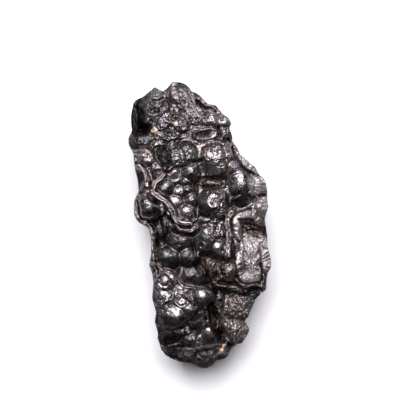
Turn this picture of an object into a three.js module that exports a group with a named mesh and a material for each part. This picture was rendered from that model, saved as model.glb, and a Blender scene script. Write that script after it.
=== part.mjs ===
// Botryoidal hematite (kidney ore), a hand specimen: one natural solid with no separate pieces.
//
// It is a slab 120 mm long, broken from the wall of a vein. Its front, facing +Z, is the free surface
// on which the ore grew: rounded kidneys of many sizes on terraces at several levels, with a broken
// hollow on the right and a deep furrow below the middle. Its sides and back are fracture surfaces.
// The back is broken nearly flat, and the specimen rests on it.
//
// Millimetres. +Z up, +Y along the specimen, origin under the middle of its box, on the resting face.
//
// The solid is carved from a box blank: the blank's vertices are drawn onto a smooth body and evened
// out over it, and those of the front are then raised or lowered to its relief.
import * as THREE from "three";
import { mergeVertices } from "three/addons/utils/BufferGeometryUtils.js";

// ---- driving dimensions ----
const LENGTH = 120.8;
const WIDTH = 56.4;
const THICKNESS = 38;
const FACET = 2.15; // size of the blank's squares, which sets the finest shape that the solid can hold
const RIM_DROP = 4.5; // how much lower the front lies at the rim than inside
const RIM_REACH = 7; // how far in from the rim that drop reaches
const FRONT_ROUNDING = 6; // width of the rounded edge between front and side
const BACK_ROUNDING = 7; // the same between back and side
const LEAST_SOFTNESS = 2.4; // no terrace edge is steeper than the facets can follow

// ---- seen from the front: the rim, clockwise from the top left corner ----
const OUTLINE = [
  [-21.9, 55.1], [-18.2, 56.0], [-16.0, 57.2], [-13.8, 58.4], [-12.6, 60.2], [-11.0, 58.3],
  [-9.2, 57.1], [-7.0, 58.5], [-4.8, 60.4], [-1.6, 59.9], [0.4, 58.9], [1.9, 57.2],
  [2.7, 55.5], [4.6, 54.4], [6.1, 53.2], [7.4, 50.9], [8.7, 49.3], [11.8, 48.4],
  [13.0, 46.4], [13.9, 44.6], [16.5, 42.0], [17.2, 39.6], [16.0, 38.0], [16.8, 34.8],
  [16.6, 32.4], [18.4, 28.8], [18.9, 26.6], [20.8, 24.5], [22.5, 22.2], [24.4, 20.6],
  [25.7, 17.0], [27.0, 15.8], [28.0, 13.6], [28.2, 10.0], [27.6, 6.4], [27.6, 3.2],
  [26.3, 0.4], [25.4, -1.8], [25.6, -8.5], [25.0, -12.5], [25.7, -19.5], [24.9, -22.5],
  [23.4, -24.3], [22.6, -27.5], [22.1, -30.8], [18.4, -33.2], [16.9, -34.6], [14.4, -38.6],
  [12.9, -41.4], [11.1, -42.5], [12.8, -46.2], [12.0, -48.2], [8.9, -51.9], [6.8, -52.1],
  [4.9, -53.0], [3.4, -54.6], [2.3, -56.4], [0.6, -57.4], [-2.4, -57.5], [-6.0, -60.0],
  [-7.8, -60.4], [-9.8, -59.8], [-13.6, -57.3], [-16.8, -56.5], [-19.0, -55.6], [-21.6, -54.0],
  [-23.6, -52.2], [-25.0, -49.6], [-25.9, -44.6], [-25.4, -43.0], [-26.0, -37.6], [-24.9, -34.0],
  [-25.7, -27.6], [-24.3, -21.5], [-24.2, -18.0], [-25.0, -13.8], [-23.6, -9.6], [-22.6, -4.0],
  [-23.1, 1.4], [-26.6, 4.2], [-27.6, 5.6], [-28.2, 8.0], [-27.4, 13.6], [-25.1, 16.9],
  [-24.8, 22.0], [-25.2, 26.0], [-25.0, 33.0], [-26.5, 37.0], [-26.3, 39.4], [-24.4, 42.8],
  [-24.3, 45.5], [-23.9, 49.0],
];

// ---- height of the front along the specimen, inside the rim: [y, z] ----
const SPINE = [
  [-61, 25], [-50, 27.5], [-40, 29], [-30, 30], [-20, 31], [-10, 32], [0, 33],
  [12, 34], [25, 34], [38, 33], [50, 31], [61, 28],
];

// ---- the back: broken faces, each a plane z = slope * (distance past an edge line) ----
// [direction of rise in degrees from +X, distance of its foot from the origin, slope]
const BACK_FACES = [
  [4, 13, 0.5], [38, 26, 0.35], [66, 38, 0.4], [96, 43, 0.3], [128, 33, 0.5],
  [178, 15, 0.45], [213, 28, 0.4], [246, 40, 0.45], [275, 45, 0.35], [318, 32, 0.45],
];

// ---- terraces: areas of the front that lie lower than the rest: { drop, soft edge, outline } ----
const TERRACES = [
  // the steep left flank of the top block, and the slot between it and the shelf below
  { drop: 6, soft: 4, edge: [[-15.8, 56.5], [-17, 52], [-16.8, 48], [-18.5, 45.5], [-16.5, 43.5],
    [-15.5, 40.8], [-19, 41.2], [-24.5, 42.2], [-27, 50], [-24, 60]] },
  { drop: 2.5, soft: 1.5, edge: [[-25, 43.5], [-20, 43.2], [-16, 43], [-15.3, 41], [-17.5, 40.6],
    [-20.5, 41.4], [-25, 42.2]] },
  // the shelf
  { drop: 2, soft: 1.2, edge: [[-28, 41], [-24.4, 41.8], [-20, 41], [-16, 39.9], [-15.2, 37],
    [-17.5, 34.5], [-20, 35], [-24, 34.6], [-28, 35.5]] },
  // the dark facet right of the ringed kidney
  { drop: 1.6, soft: 1.5, edge: [[-16.5, 34.5], [-12.5, 34.8], [-10.2, 30], [-8.9, 26.6],
    [-11.5, 24.6], [-13.4, 24.4], [-15, 26.5], [-16.8, 29.5]] },
  // the basin that holds the cluster of small kidneys
  { drop: 2, soft: 1.2, edge: [[-13.5, 22], [-18.6, 19.8], [-19.4, 17], [-17, 14.4], [-13.6, 12],
    [-11.9, 8], [-11, 4], [-8, 1.8], [-5, 0.8], [-2.5, 3], [-2.2, 6], [-1.4, 9], [-1, 14],
    [0.4, 18.5], [0.8, 22], [0, 25.4], [-8, 24.3], [-12, 22.6]] },
  // the valley across the left half
  { drop: 3.5, soft: 2, edge: [[-20.5, 3], [-15, 6.5], [-12.8, 3], [-10.5, -1.8], [-5.2, -4.4],
    [-4.6, -9], [-4.4, -13], [-2.6, -18.5], [-0.6, -22], [-0.5, -27.5], [-4, -27], [-8.4, -25.3],
    [-11.4, -24], [-13.2, -22], [-14.6, -19.6], [-15.8, -17.7], [-19, -16.3], [-22, -14.4],
    [-22.5, -10], [-21.5, -5], [-21.3, 0]] },
  // the furrow below the middle
  { drop: 5, soft: 2.5, edge: [[-0.5, -27.5], [2.5, -27.5], [4.6, -29], [3.8, -33], [2.4, -38],
    [1.6, -42], [2, -47], [1.8, -50.5], [-0.6, -49.5], [-2, -46], [-3, -42], [-3.2, -37],
    [-2, -34], [-0.3, -33], [0.4, -31]] },
  // the brown broken area under the middle kidney
  { drop: 3, soft: 1.6, edge: [[-2.6, -11.6], [0.5, -11.4], [3, -12.6], [5, -14.6], [9, -15.4],
    [10.2, -18], [10.2, -23], [11.6, -26.8], [8, -27.4], [3.5, -26], [1.5, -24], [-1, -19],
    [-3.6, -14]] },
  // the broken hollow, and the brown cavity in its upper right
  { drop: 2.6, soft: 2, edge: [[15.3, -1], [20.8, -1.2], [21.4, -3.4], [25.4, -5], [24.8, -10],
    [21.6, -12], [21.4, -20], [19.5, -22.8], [16, -23.4], [14, -22], [14.4, -15], [14.8, -10],
    [13.6, -6], [15, -3]] },
  { drop: 2.6, soft: 1.6, edge: [[17, -5], [19, -4.5], [22, -5.4], [26.5, -6.6], [26.5, -10],
    [23, -9.2], [20, -7.8], [17.6, -6.4]] },
  // the rough ground at the lower right, and the shadowed hole under the hollow's lip
  { drop: 4, soft: 2.5, edge: [[4.6, -29.3], [12, -31], [19, -33], [25, -32], [16, -45],
    [14, -55], [5, -56], [2, -50], [2, -44], [2.3, -40], [4, -34]] },
  { drop: 3, soft: 1.5, edge: [[12, -28.8], [16, -28.8], [20, -29.8], [20.6, -31], [17.6, -32.8],
    [12.4, -31.8]] },
  // the slots under the upper right kidney, and its dark left flank
  { drop: 3, soft: 1.5, edge: [[1, 19.6], [5, 19.2], [11.8, 19], [12, 16], [11, 13.5], [6.5, 13.8],
    [2.5, 14.2], [-0.5, 16.5]] },
  { drop: 2.2, soft: 1.2, edge: [[0.6, 26], [4, 26.8], [4.6, 22], [3.4, 19.4], [0.8, 19.8]] },
  // the slope down to the foot, and the dark flats above it
  { drop: 3, soft: 3, edge: [[-22, -50], [-15, -50.6], [-10, -51.4], [-5, -52.4], [-1, -51],
    [3, -51], [7, -53], [3, -61], [-10, -64], [-22, -58]] },
  { drop: 2.5, soft: 1.5, edge: [[-27, -41.5], [-19, -42.2], [-15.5, -40.8], [-9.5, -37],
    [-7.5, -35.2], [-3.4, -36], [-3.2, -42], [-8.2, -43.2], [-10.2, -46], [-10.4, -51],
    [-15, -50.4], [-22, -50], [-27, -47]] },
  // the furrow behind the top right ridge, and the low ground at the right rim
  { drop: 2, soft: 1, edge: [[3.6, 51.6], [5.4, 51], [6.6, 49], [9.6, 47.4], [12, 46],
    [11.4, 45.4], [8, 46.4], [5.4, 47.6], [4, 49.6]] },
  { drop: 2, soft: 2, edge: [[20.8, 18.2], [24.5, 17.6], [30, 14], [30, 4], [23.4, 5.2],
    [21.6, 6.5], [21.5, 10], [23.2, 14]] },
];

// ---- kidneys: [x, y, half width, half length, turn in degrees, height] ----
const KIDNEYS = [
  // top block
  [-12.8, 51.5, 5.5, 6.2, 0, 2.6], [-12.7, 57.0, 3.2, 3.6, 0, 1.6], [-19.0, 52.0, 4.2, 4.4, 20, 1.6],
  [-21.5, 47.4, 3.6, 5.0, 0, 1.2], [-3.4, 56.3, 3.7, 4.6, -10, 2.0], [-8.2, 55.6, 2.5, 2.6, 0, 1.0],
  [0.5, 52.4, 4.2, 6.4, 15, 2.0], [10.0, 42.9, 3.9, 3.8, 20, 2.4], [14.5, 40.9, 2.5, 2.6, 0, 1.8],
  [14.3, 36.0, 2.4, 2.8, 0, 1.0], [2.8, 45.6, 3.6, 3.8, 30, 1.4], [-3.6, 42.4, 3.0, 3.3, 0, 1.3],
  [-9.8, 44.6, 3.8, 3.0, 0, 1.0],
  // shelf, ringed kidney and its neighbours
  [-21.5, 38.0, 4.8, 3.2, -8, 1.4], [-20.6, 30.0, 4.6, 4.8, 0, 2.8], [-16.2, 25.0, 2.8, 3.3, 30, 1.6],
  [-21.4, 23.6, 2.6, 5.2, 15, 1.4], [-8.5, 37.4, 3.2, 2.9, 0, 1.1], [-5.2, 30.2, 5.0, 3.9, 0, 2.4],
  [-12.8, 30.0, 3.4, 4.4, 10, 1.2],
  // cluster in the basin
  [-14.2, 17.0, 4.8, 4.4, 20, 2.6], [-9.8, 21.4, 3.4, 3.6, 0, 1.6], [-2.6, 22.0, 3.7, 4.2, 0, 2.6],
  [-4.8, 18.4, 2.8, 2.5, 20, 1.6], [-8.4, 14.6, 2.3, 2.2, 0, 1.1], [-4.8, 14.6, 3.0, 2.1, 0, 1.7],
  [-10.8, 10.4, 3.9, 3.4, -20, 2.0], [-3.8, 10.8, 2.8, 3.0, 0, 1.9], [-6.6, 5.2, 5.0, 4.2, 0, 2.9],
  // left bulge
  [-22.8, 10.2, 5.2, 6.6, 10, 3.4],
  // valley
  [-19.2, -1.0, 3.0, 7.0, 4, 1.5], [-15.3, 1.0, 2.6, 4.6, 0, 1.2], [-10.8, -6.2, 5.4, 4.8, -15, 2.2],
  [-17.0, -12.0, 6.0, 4.9, -14, 3.4], [-8.3, -13.6, 4.4, 5.2, 15, 2.5], [-8.0, -21.4, 6.4, 4.9, -18, 2.6],
  // lower left plateau
  [-19.2, -21.2, 4.2, 4.4, 0, 2.0], [-20.6, -29.4, 4.6, 4.8, 0, 1.6], [-13.4, -30.4, 4.9, 4.6, 0, 2.4],
  [-12.8, -26.6, 3.2, 2.8, 0, 1.3], [-5.0, -30.3, 4.9, 5.1, 0, 2.9], [-18.0, -36.6, 6.8, 5.5, -8, 3.5],
  [-11.8, -34.2, 4.8, 4.0, -25, 2.4],
  // flats and foot
  [-3.2, -46.5, 4.8, 5.3, 0, 3.0], [-8.2, -47.8, 2.4, 3.4, 0, 1.6], [-12.2, -48.2, 2.8, 2.8, 0, 1.4],
  [-19.5, -46.2, 5.4, 4.4, 0, 1.2], [-14.2, -53.0, 3.0, 2.6, 0, 1.1], [-6.6, -56.2, 4.8, 3.2, 0, 1.2],
  [0.2, -53.4, 2.6, 2.6, 0, 1.6], [-9.5, -40.2, 4.6, 3.4, 35, 0.9],
  // lower right
  [9.6, -36.8, 5.4, 5.0, 0, 2.2], [8.0, -46.6, 5.2, 5.2, 0, 2.0], [14.0, -37.0, 2.6, 3.2, -30, 1.2],
  [1.7, -33.4, 2.2, 5.6, -12, 1.4],
  // middle
  [1.6, -6.0, 6.6, 6.6, 10, 3.2], [7.0, -20.8, 4.0, 4.8, 0, 2.6], [1.0, -17.6, 2.6, 4.4, 25, 1.4],
  [9.4, -5.0, 1.8, 8.0, 5, 1.6], [13.2, -3.0, 2.0, 6.4, 0, 1.4], [12.0, -19.6, 2.2, 5.0, 0, 1.0],
  // upper right
  [9.6, 26.8, 6.6, 7.0, 0, 4.0], [14.6, 27.0, 3.4, 5.0, 15, 2.6], [5.0, 7.4, 6.0, 6.9, 0, 3.8],
  [3.6, 1.4, 4.8, 3.6, 0, 2.0], [17.6, 13.2, 5.4, 8.8, 8, 4.0], [22.0, 21.6, 3.0, 5.2, 40, 1.6],
  [24.6, 13.2, 3.8, 4.0, 0, 1.8], [25.2, 3.6, 3.0, 4.0, 0, 2.6], [16.6, 1.0, 4.6, 2.4, 0, 1.6],
  [17.4, -15.6, 3.6, 5.6, 0, 1.2], [23.4, -17.0, 2.6, 6.4, 0, 2.0], [15.8, -25.4, 5.4, 2.6, 0, 1.8],
  [6.0, 16.4, 3.6, 1.6, -8, 1.2],
];

const clamp = THREE.MathUtils.clamp;
const DEG = Math.PI / 180;

// Distance from a point to a closed outline, less than 0 inside it.
function edgeDistance(outline, x, y) {
  let nearest = Infinity;
  let inside = false;
  for (let i = 0, j = outline.length - 1; i < outline.length; j = i++) {
    const [ax, ay] = outline[j];
    const [bx, by] = outline[i];
    const ex = bx - ax, ey = by - ay;
    const t = clamp(((x - ax) * ex + (y - ay) * ey) / (ex * ex + ey * ey), 0, 1);
    const gapX = x - ax - t * ex, gapY = y - ay - t * ey;
    nearest = Math.min(nearest, gapX * gapX + gapY * gapY);
    if (ay > y !== by > y && x < ax + (ex * (y - ay)) / ey) inside = !inside;
  }
  return inside ? -Math.sqrt(nearest) : Math.sqrt(nearest);
}

// The larger of two values, rounded over a width where they meet.
function roundedMax(a, b, width) {
  const h = Math.max(width - Math.abs(a - b), 0) / width;
  return Math.max(a, b) + (h * h * width) / 4;
}

function spineHeight(y) {
  const last = SPINE.length - 1;
  let i = 0;
  while (i < last - 1 && y > SPINE[i + 1][0]) i++;
  const t = clamp((y - SPINE[i][0]) / (SPINE[i + 1][0] - SPINE[i][0]), 0, 1);
  return THREE.MathUtils.lerp(SPINE[i][1], SPINE[i + 1][1], t * t * (3 - 2 * t));
}

const backRise = BACK_FACES.map(([turn, foot, slope]) => {
  const dx = Math.cos(turn * DEG), dy = Math.sin(turn * DEG);
  return (x, y) => slope * (x * dx + y * dy - foot);
});

function backHeight(x, y) {
  return Math.max(0, ...backRise.map((rise) => rise(x, y)));
}

const steps = TERRACES.map(({ drop, soft, edge }) => {
  const width = Math.max(soft, LEAST_SOFTNESS);
  const corners = edge.map(([x, y]) => new THREE.Vector2(x, y));
  return { drop, width, edge, area: new THREE.Box2().setFromPoints(corners).expandByScalar(width) };
});
const spot = new THREE.Vector2();

// How far the terraces lower the front.
function terraceDrop(x, y) {
  let total = 0;
  for (const { drop, width, edge, area } of steps) {
    if (!area.containsPoint(spot.set(x, y))) continue;
    const within = clamp(0.5 - edgeDistance(edge, x, y) / width, 0, 1);
    total += drop * within * within * (3 - 2 * within);
  }
  return total;
}

// How far the kidneys raise it. They are parts of spheres, and the highest one counts.
function kidneyRise(x, y) {
  let rise = 0;
  for (const [cx, cy, halfWidth, halfLength, turn, height] of KIDNEYS) {
    const c = Math.cos(turn * DEG), s = Math.sin(turn * DEG);
    const u = ((x - cx) * c + (y - cy) * s) / halfWidth;
    const v = (-(x - cx) * s + (y - cy) * c) / halfLength;
    const reach = 1 - u * u - v * v;
    if (reach > 0) rise = Math.max(rise, height * Math.sqrt(reach));
  }
  return rise;
}

// Height of the smooth body's front, before its edge is rounded.
function frontHeight(rim, y) {
  return spineHeight(y) - RIM_DROP * Math.exp(Math.min(rim, 0) / RIM_REACH);
}

// Negative inside the smooth body, positive outside, and 0 on its surface.
function outside(p) {
  const rim = edgeDistance(OUTLINE, p.x, p.y);
  const upper = roundedMax(rim, p.z - frontHeight(rim, p.y), FRONT_ROUNDING);
  return roundedMax(upper, backHeight(p.x, p.y) - p.z, BACK_ROUNDING);
}

const probe = new THREE.Vector3();

// The direction in which the smooth body's surface faces at a point.
function facing(p) {
  const step = 0.4;
  const slope = new THREE.Vector3();
  for (const axis of ["x", "y", "z"]) {
    probe.copy(p)[axis] += step;
    const ahead = outside(probe);
    probe[axis] -= 2 * step;
    slope[axis] = ahead - outside(probe);
  }
  return slope.normalize();
}

// Moves a point straight towards the smooth body's surface.
function settle(p) {
  const furthest = 3;
  p.addScaledVector(facing(p), clamp(-outside(p), -furthest, furthest));
}

// Brings a point down to the terraces, and raises it to the kidneys where it faces up. The sides keep
// their place, apart from what stands above a terrace.
function addRelief(p) {
  const share = THREE.MathUtils.smoothstep(facing(p).z, 0.05, 0.5);
  const rim = edgeDistance(OUTLINE, p.x, p.y);
  const inset = clamp(-rim, 0, FRONT_ROUNDING);
  const rounding = FRONT_ROUNDING + inset - 2 * Math.sqrt(FRONT_ROUNDING * inset);
  const level = frontHeight(rim, p.y) - rounding - terraceDrop(p.x, p.y);
  p.z = Math.min(p.z, level) + share * kidneyRise(p.x, p.y);
}

function neighboursOf(index, count) {
  const found = Array.from({ length: count }, () => new Set());
  for (let i = 0; i < index.count; i += 3) {
    const corner = [index.getX(i), index.getX(i + 1), index.getX(i + 2)];
    for (const a of corner) for (const b of corner) if (a !== b) found[a].add(b);
  }
  return found.map((set) => [...set]);
}

function carve() {
  const squares = (size) => Math.round(size / FACET);
  let blank = new THREE.BoxGeometry(
    WIDTH, LENGTH, THICKNESS, squares(WIDTH), squares(LENGTH), squares(THICKNESS * 0.7),
  );
  blank.deleteAttribute("normal");
  blank.deleteAttribute("uv");
  blank = mergeVertices(blank, 1e-4).translate(0, 0, THICKNESS / 2);

  const place = blank.getAttribute("position");
  const near = neighboursOf(blank.index, place.count);
  const points = near.map((_, i) => new THREE.Vector3().fromBufferAttribute(place, i));
  const drawIn = 12, evenOut = 20;
  for (let i = 0; i < drawIn; i++) points.forEach(settle);
  for (let i = 0; i < evenOut; i++) {
    const middles = near.map((list) =>
      list.reduce((sum, n) => sum.add(points[n]), new THREE.Vector3()).divideScalar(list.length));
    points.forEach((p, k) => {
      p.lerp(middles[k], 0.5);
      settle(p);
    });
  }
  points.forEach(addRelief);

  // The resting face is truly flat, and the box is centred over the origin.
  const box = new THREE.Box3().setFromPoints(points);
  const middle = box.getCenter(new THREE.Vector3());
  const restingDepth = 0.35;
  for (const p of points) {
    if (p.z < box.min.z + restingDepth) p.z = box.min.z;
    p.sub(new THREE.Vector3(middle.x, middle.y, box.min.z));
  }
  points.forEach((p, i) => place.setXYZ(i, p.x, p.y, p.z));
  blank.computeVertexNormals();
  return blank;
}

const hematite = new THREE.MeshStandardMaterial({ color: 0x3a3637, roughness: 0.3, metalness: 0.75 });
const specimen = new THREE.Mesh(carve(), hematite);
specimen.name = "hematite_specimen";

const part = new THREE.Group();
part.add(specimen);
export default part;
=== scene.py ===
import math

import bpy
import numpy as np
from bpy.props import FloatProperty, FloatVectorProperty, PointerProperty
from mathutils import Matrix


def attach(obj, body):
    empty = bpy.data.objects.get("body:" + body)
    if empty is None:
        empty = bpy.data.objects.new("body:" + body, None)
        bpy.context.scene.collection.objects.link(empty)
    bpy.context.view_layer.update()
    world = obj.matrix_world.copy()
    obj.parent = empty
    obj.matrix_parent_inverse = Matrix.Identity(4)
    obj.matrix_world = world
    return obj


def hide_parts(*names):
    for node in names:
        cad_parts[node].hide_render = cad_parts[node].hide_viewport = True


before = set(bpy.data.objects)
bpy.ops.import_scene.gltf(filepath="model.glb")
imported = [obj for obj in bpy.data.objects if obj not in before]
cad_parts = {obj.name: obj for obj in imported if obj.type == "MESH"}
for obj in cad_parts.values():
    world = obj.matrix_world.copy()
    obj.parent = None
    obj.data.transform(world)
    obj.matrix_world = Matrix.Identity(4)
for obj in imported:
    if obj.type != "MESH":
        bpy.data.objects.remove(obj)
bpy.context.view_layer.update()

bl_info = {
    "name": "Kidney ore specimen",
    "version": (1, 0, 0),
    "blender": (4, 5, 0),
    "location": "View3D > Sidebar > Kidney ore",
    "description": "Sculpts a botryoidal hematite hand specimen and its plain studio",
    "category": "Object",
}

NODE = "hematite_specimen"
MM = 0.001

# ---- the smooth body that the relief stands on ----
RIM_DROP = 3.2  # how much lower the front lies at the rim than inside
RIM_REACH = 4.5  # how far in from the rim that drop reaches
FRONT_ROUNDING = 2.0  # width of the rounded edge between front and side
LEAST_INSET = 1e-4  # keeps the rounding's slope finite at the rim
FRONT_FROM = 12  # nothing lower than this belongs to the front
UPWARD_SHARE = (0.05, 0.5)  # the smooth front takes relief where it faces up more than this
FRONT_FACING = (0.1, 0.4)  # and so does the mesh where its own normals do
# The height of the front's middle line: (y, z)
SPINE = [
    (-61, 25), (-50, 27.5), (-40, 29), (-30, 30), (-20, 31), (-10, 32), (0, 33),
    (12, 34), (25, 34), (38, 33), (50, 31), (61, 28),
]

# The rim, clockwise from the top left corner.
OUTLINE = [
    (-21.9, 55.1), (-18.2, 56.0), (-16.0, 57.2), (-13.8, 58.4), (-12.6, 60.2), (-11.0, 58.3),
    (-9.2, 57.1), (-7.0, 58.5), (-4.8, 60.4), (-1.6, 59.9), (0.4, 58.9), (1.9, 57.2),
    (2.7, 55.5), (4.6, 54.4), (6.1, 53.2), (7.4, 50.9), (8.7, 49.3), (11.8, 48.4),
    (13.0, 46.4), (13.9, 44.6), (16.5, 42.0), (17.2, 39.6), (16.0, 38.0), (16.8, 34.8),
    (16.6, 32.4), (18.4, 28.8), (18.9, 26.6), (20.8, 24.5), (22.5, 22.2), (24.4, 20.6),
    (25.7, 17.0), (27.0, 15.8), (28.0, 13.6), (28.2, 10.0), (27.6, 6.4), (27.6, 3.2),
    (26.3, 0.4), (25.4, -1.8), (25.6, -8.5), (25.0, -12.5), (25.7, -19.5), (24.9, -22.5),
    (23.4, -24.3), (22.6, -27.5), (22.1, -30.8), (18.4, -33.2), (16.9, -34.6), (14.4, -38.6),
    (12.9, -41.4), (11.1, -42.5), (12.8, -46.2), (12.0, -48.2), (8.9, -51.9), (6.8, -52.1),
    (4.9, -53.0), (3.4, -54.6), (2.3, -56.4), (0.6, -57.4), (-2.4, -57.5), (-6.0, -60.0),
    (-7.8, -60.4), (-9.8, -59.8), (-13.6, -57.3), (-16.8, -56.5), (-19.0, -55.6), (-21.6, -54.0),
    (-23.6, -52.2), (-25.0, -49.6), (-25.9, -44.6), (-25.4, -43.0), (-26.0, -37.6), (-24.9, -34.0),
    (-25.7, -27.6), (-24.3, -21.5), (-24.2, -18.0), (-25.0, -13.8), (-23.6, -9.6), (-22.6, -4.0),
    (-23.1, 1.4), (-26.6, 4.2), (-27.6, 5.6), (-28.2, 8.0), (-27.4, 13.6), (-25.1, 16.9),
    (-24.8, 22.0), (-25.2, 26.0), (-25.0, 33.0), (-26.5, 37.0), (-26.3, 39.4), (-24.4, 42.8),
    (-24.3, 45.5), (-23.9, 49.0),
]

# ---- terraces: areas that lie lower than the rest: (drop, softness of the edge, outline) ----
TERRACES = [
    # steep left flank of the head, the slot under it and the shelf below
    (11, 8, [(-18.6, 57.5), (-20, 52), (-19.6, 48), (-20.5, 45), (-19.5, 42.8), (-25, 42.4), (-31, 45),
        (-31, 58)]),
    (3, 1, [(-25, 43.5), (-20, 43.2), (-16, 44), (-15.3, 41), (-17.5, 40.4), (-20.5, 41.3),
        (-25, 42.2)]),
    (2, 0.8, [(-28, 41), (-24.4, 41.8), (-20, 41), (-16, 39.9), (-15.2, 37), (-17.5, 34.5), (-20, 35),
        (-24, 34.6), (-28, 35.5)]),
    # facet right of the ringed kidney
    (1.6, 1.2, [(-16.5, 34.5), (-12.5, 34.8), (-10.2, 30), (-8.9, 26.6), (-11.5, 24.6), (-13.4, 24.4),
        (-15, 26.5), (-16.8, 29.5)]),
    # basin that holds the cluster of small kidneys
    (2.4, 0.7, [(-13, 21.2), (-17.2, 19.2), (-18, 17.2), (-16, 15.2), (-12.8, 12.8), (-10.9, 8.6),
        (-9.9, 4.8), (-7.4, 2.8), (-5, 1.8), (-2.5, 3), (-2.2, 6), (-1.4, 9), (-1, 14), (0.4, 18.5),
        (0.8, 22), (0, 25.4), (-8, 24.3), (-12, 22.6)]),
    # valley across the left half
    (3.5, 1.2, [(-20.5, 3), (-15, 6.5), (-12.8, 3), (-10.5, -1.8), (-5.2, -4.4), (-4.6, -9),
        (-4.4, -13), (-2.6, -18.5), (-0.6, -22), (-0.5, -27.5), (-4, -27), (-8.4, -25.3), (-11.4, -24),
        (-13.2, -22), (-14.6, -19.6), (-15.8, -17.7), (-19, -16.3), (-22, -14.4), (-22.5, -10),
        (-21.5, -5), (-21.3, 0)]),
    # furrow below the middle
    (9, 2.2, [(-0.5, -27.5), (2.5, -27.5), (4.6, -29), (3.8, -33), (2.4, -38), (1.6, -42), (2, -47),
        (1.8, -50.5), (-0.6, -49.5), (-2, -46), (-3, -42), (-3.2, -37), (-2, -34), (-0.3, -33),
        (0.4, -31)]),
    # brown broken area under the middle kidney
    (3, 1, [(-2.6, -11.6), (0.5, -11.4), (3, -12.6), (5, -14.6), (9, -15.4), (10.2, -18), (10.2, -23),
        (11.6, -26.8), (8, -27.4), (3.5, -26), (1.5, -24), (-1, -19), (-3.6, -14)]),
    # broken hollow, and the brown cavity in its upper right
    (2.6, 1, [(15.3, -1), (20.8, -1.2), (21.4, -3.4), (25.4, -5), (24.8, -10), (21.6, -12), (21.4, -20),
        (19.5, -22.8), (16, -23.4), (14, -22), (14.4, -15), (14.8, -10), (13.6, -6), (15, -3)]),
    (2.6, 1, [(17, -5), (19, -4.5), (22, -5.4), (26.5, -6.6), (26.5, -10), (23, -9.2), (20, -7.8),
        (17.6, -6.4)]),
    # rough ground at the lower right, and the shadowed hole under the hollow's lip
    (4, 2, [(4.6, -29.3), (12, -31), (19, -33), (25, -32), (16, -45), (14, -55), (5, -56), (2, -50),
        (2, -44), (2.3, -40), (4, -34)]),
    (3.5, 1.2, [(12, -28.8), (16, -28.8), (20, -29.8), (20.6, -31), (17.6, -32.8), (12.4, -31.8)]),
    # slots under the upper right kidney, and its dark left flank
    (3, 1, [(1, 19.6), (5, 19.2), (11.8, 19), (12, 16), (11, 13.5), (6.5, 13.8), (2.5, 14.2),
        (-0.5, 16.5)]),
    (2.2, 0.8, [(0.6, 26), (4, 26.8), (4.6, 22), (3.4, 19.4), (0.8, 19.8)]),
    # slope down to the foot, and the dark flats above it
    (3, 2.5, [(-22, -50), (-15, -50.6), (-10, -51.4), (-5, -52.4), (-1, -51), (3, -51), (7, -53),
        (3, -61), (-10, -64), (-22, -58)]),
    (2.2, 1.6, [(-27, -41.5), (-19, -42.2), (-15.5, -40.8), (-9.5, -37), (-7.5, -35.2), (-3.4, -36),
        (-3.2, -42), (-8.2, -43.2), (-10.2, -46), (-10.4, -51), (-15, -50.4), (-22, -50), (-27, -47)]),
    # furrow behind the top right ridge, and the low ground at the right rim
    (2.2, 0.6, [(3.6, 51.6), (5.4, 51), (6.6, 49), (9.6, 47.4), (12, 46), (11.4, 45.4), (8, 46.4),
        (5.4, 47.6), (4, 49.6)]),
    (2, 1.5, [(20.8, 18.2), (24.5, 17.6), (30, 14), (30, 4), (23.4, 5.2), (21.6, 6.5), (21.5, 10),
        (23.2, 14)]),
]

KIDNEY_SCALE = 0.88  # how much of the listed heights stands out
KIDNEY_FULLNESS = 0.8  # 0.5 is a full ellipsoid, 1 a flatter paraboloid
KIDNEY_FLOOR = -0.9  # how far below their foot the kidneys run on before the ground hides them
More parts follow.
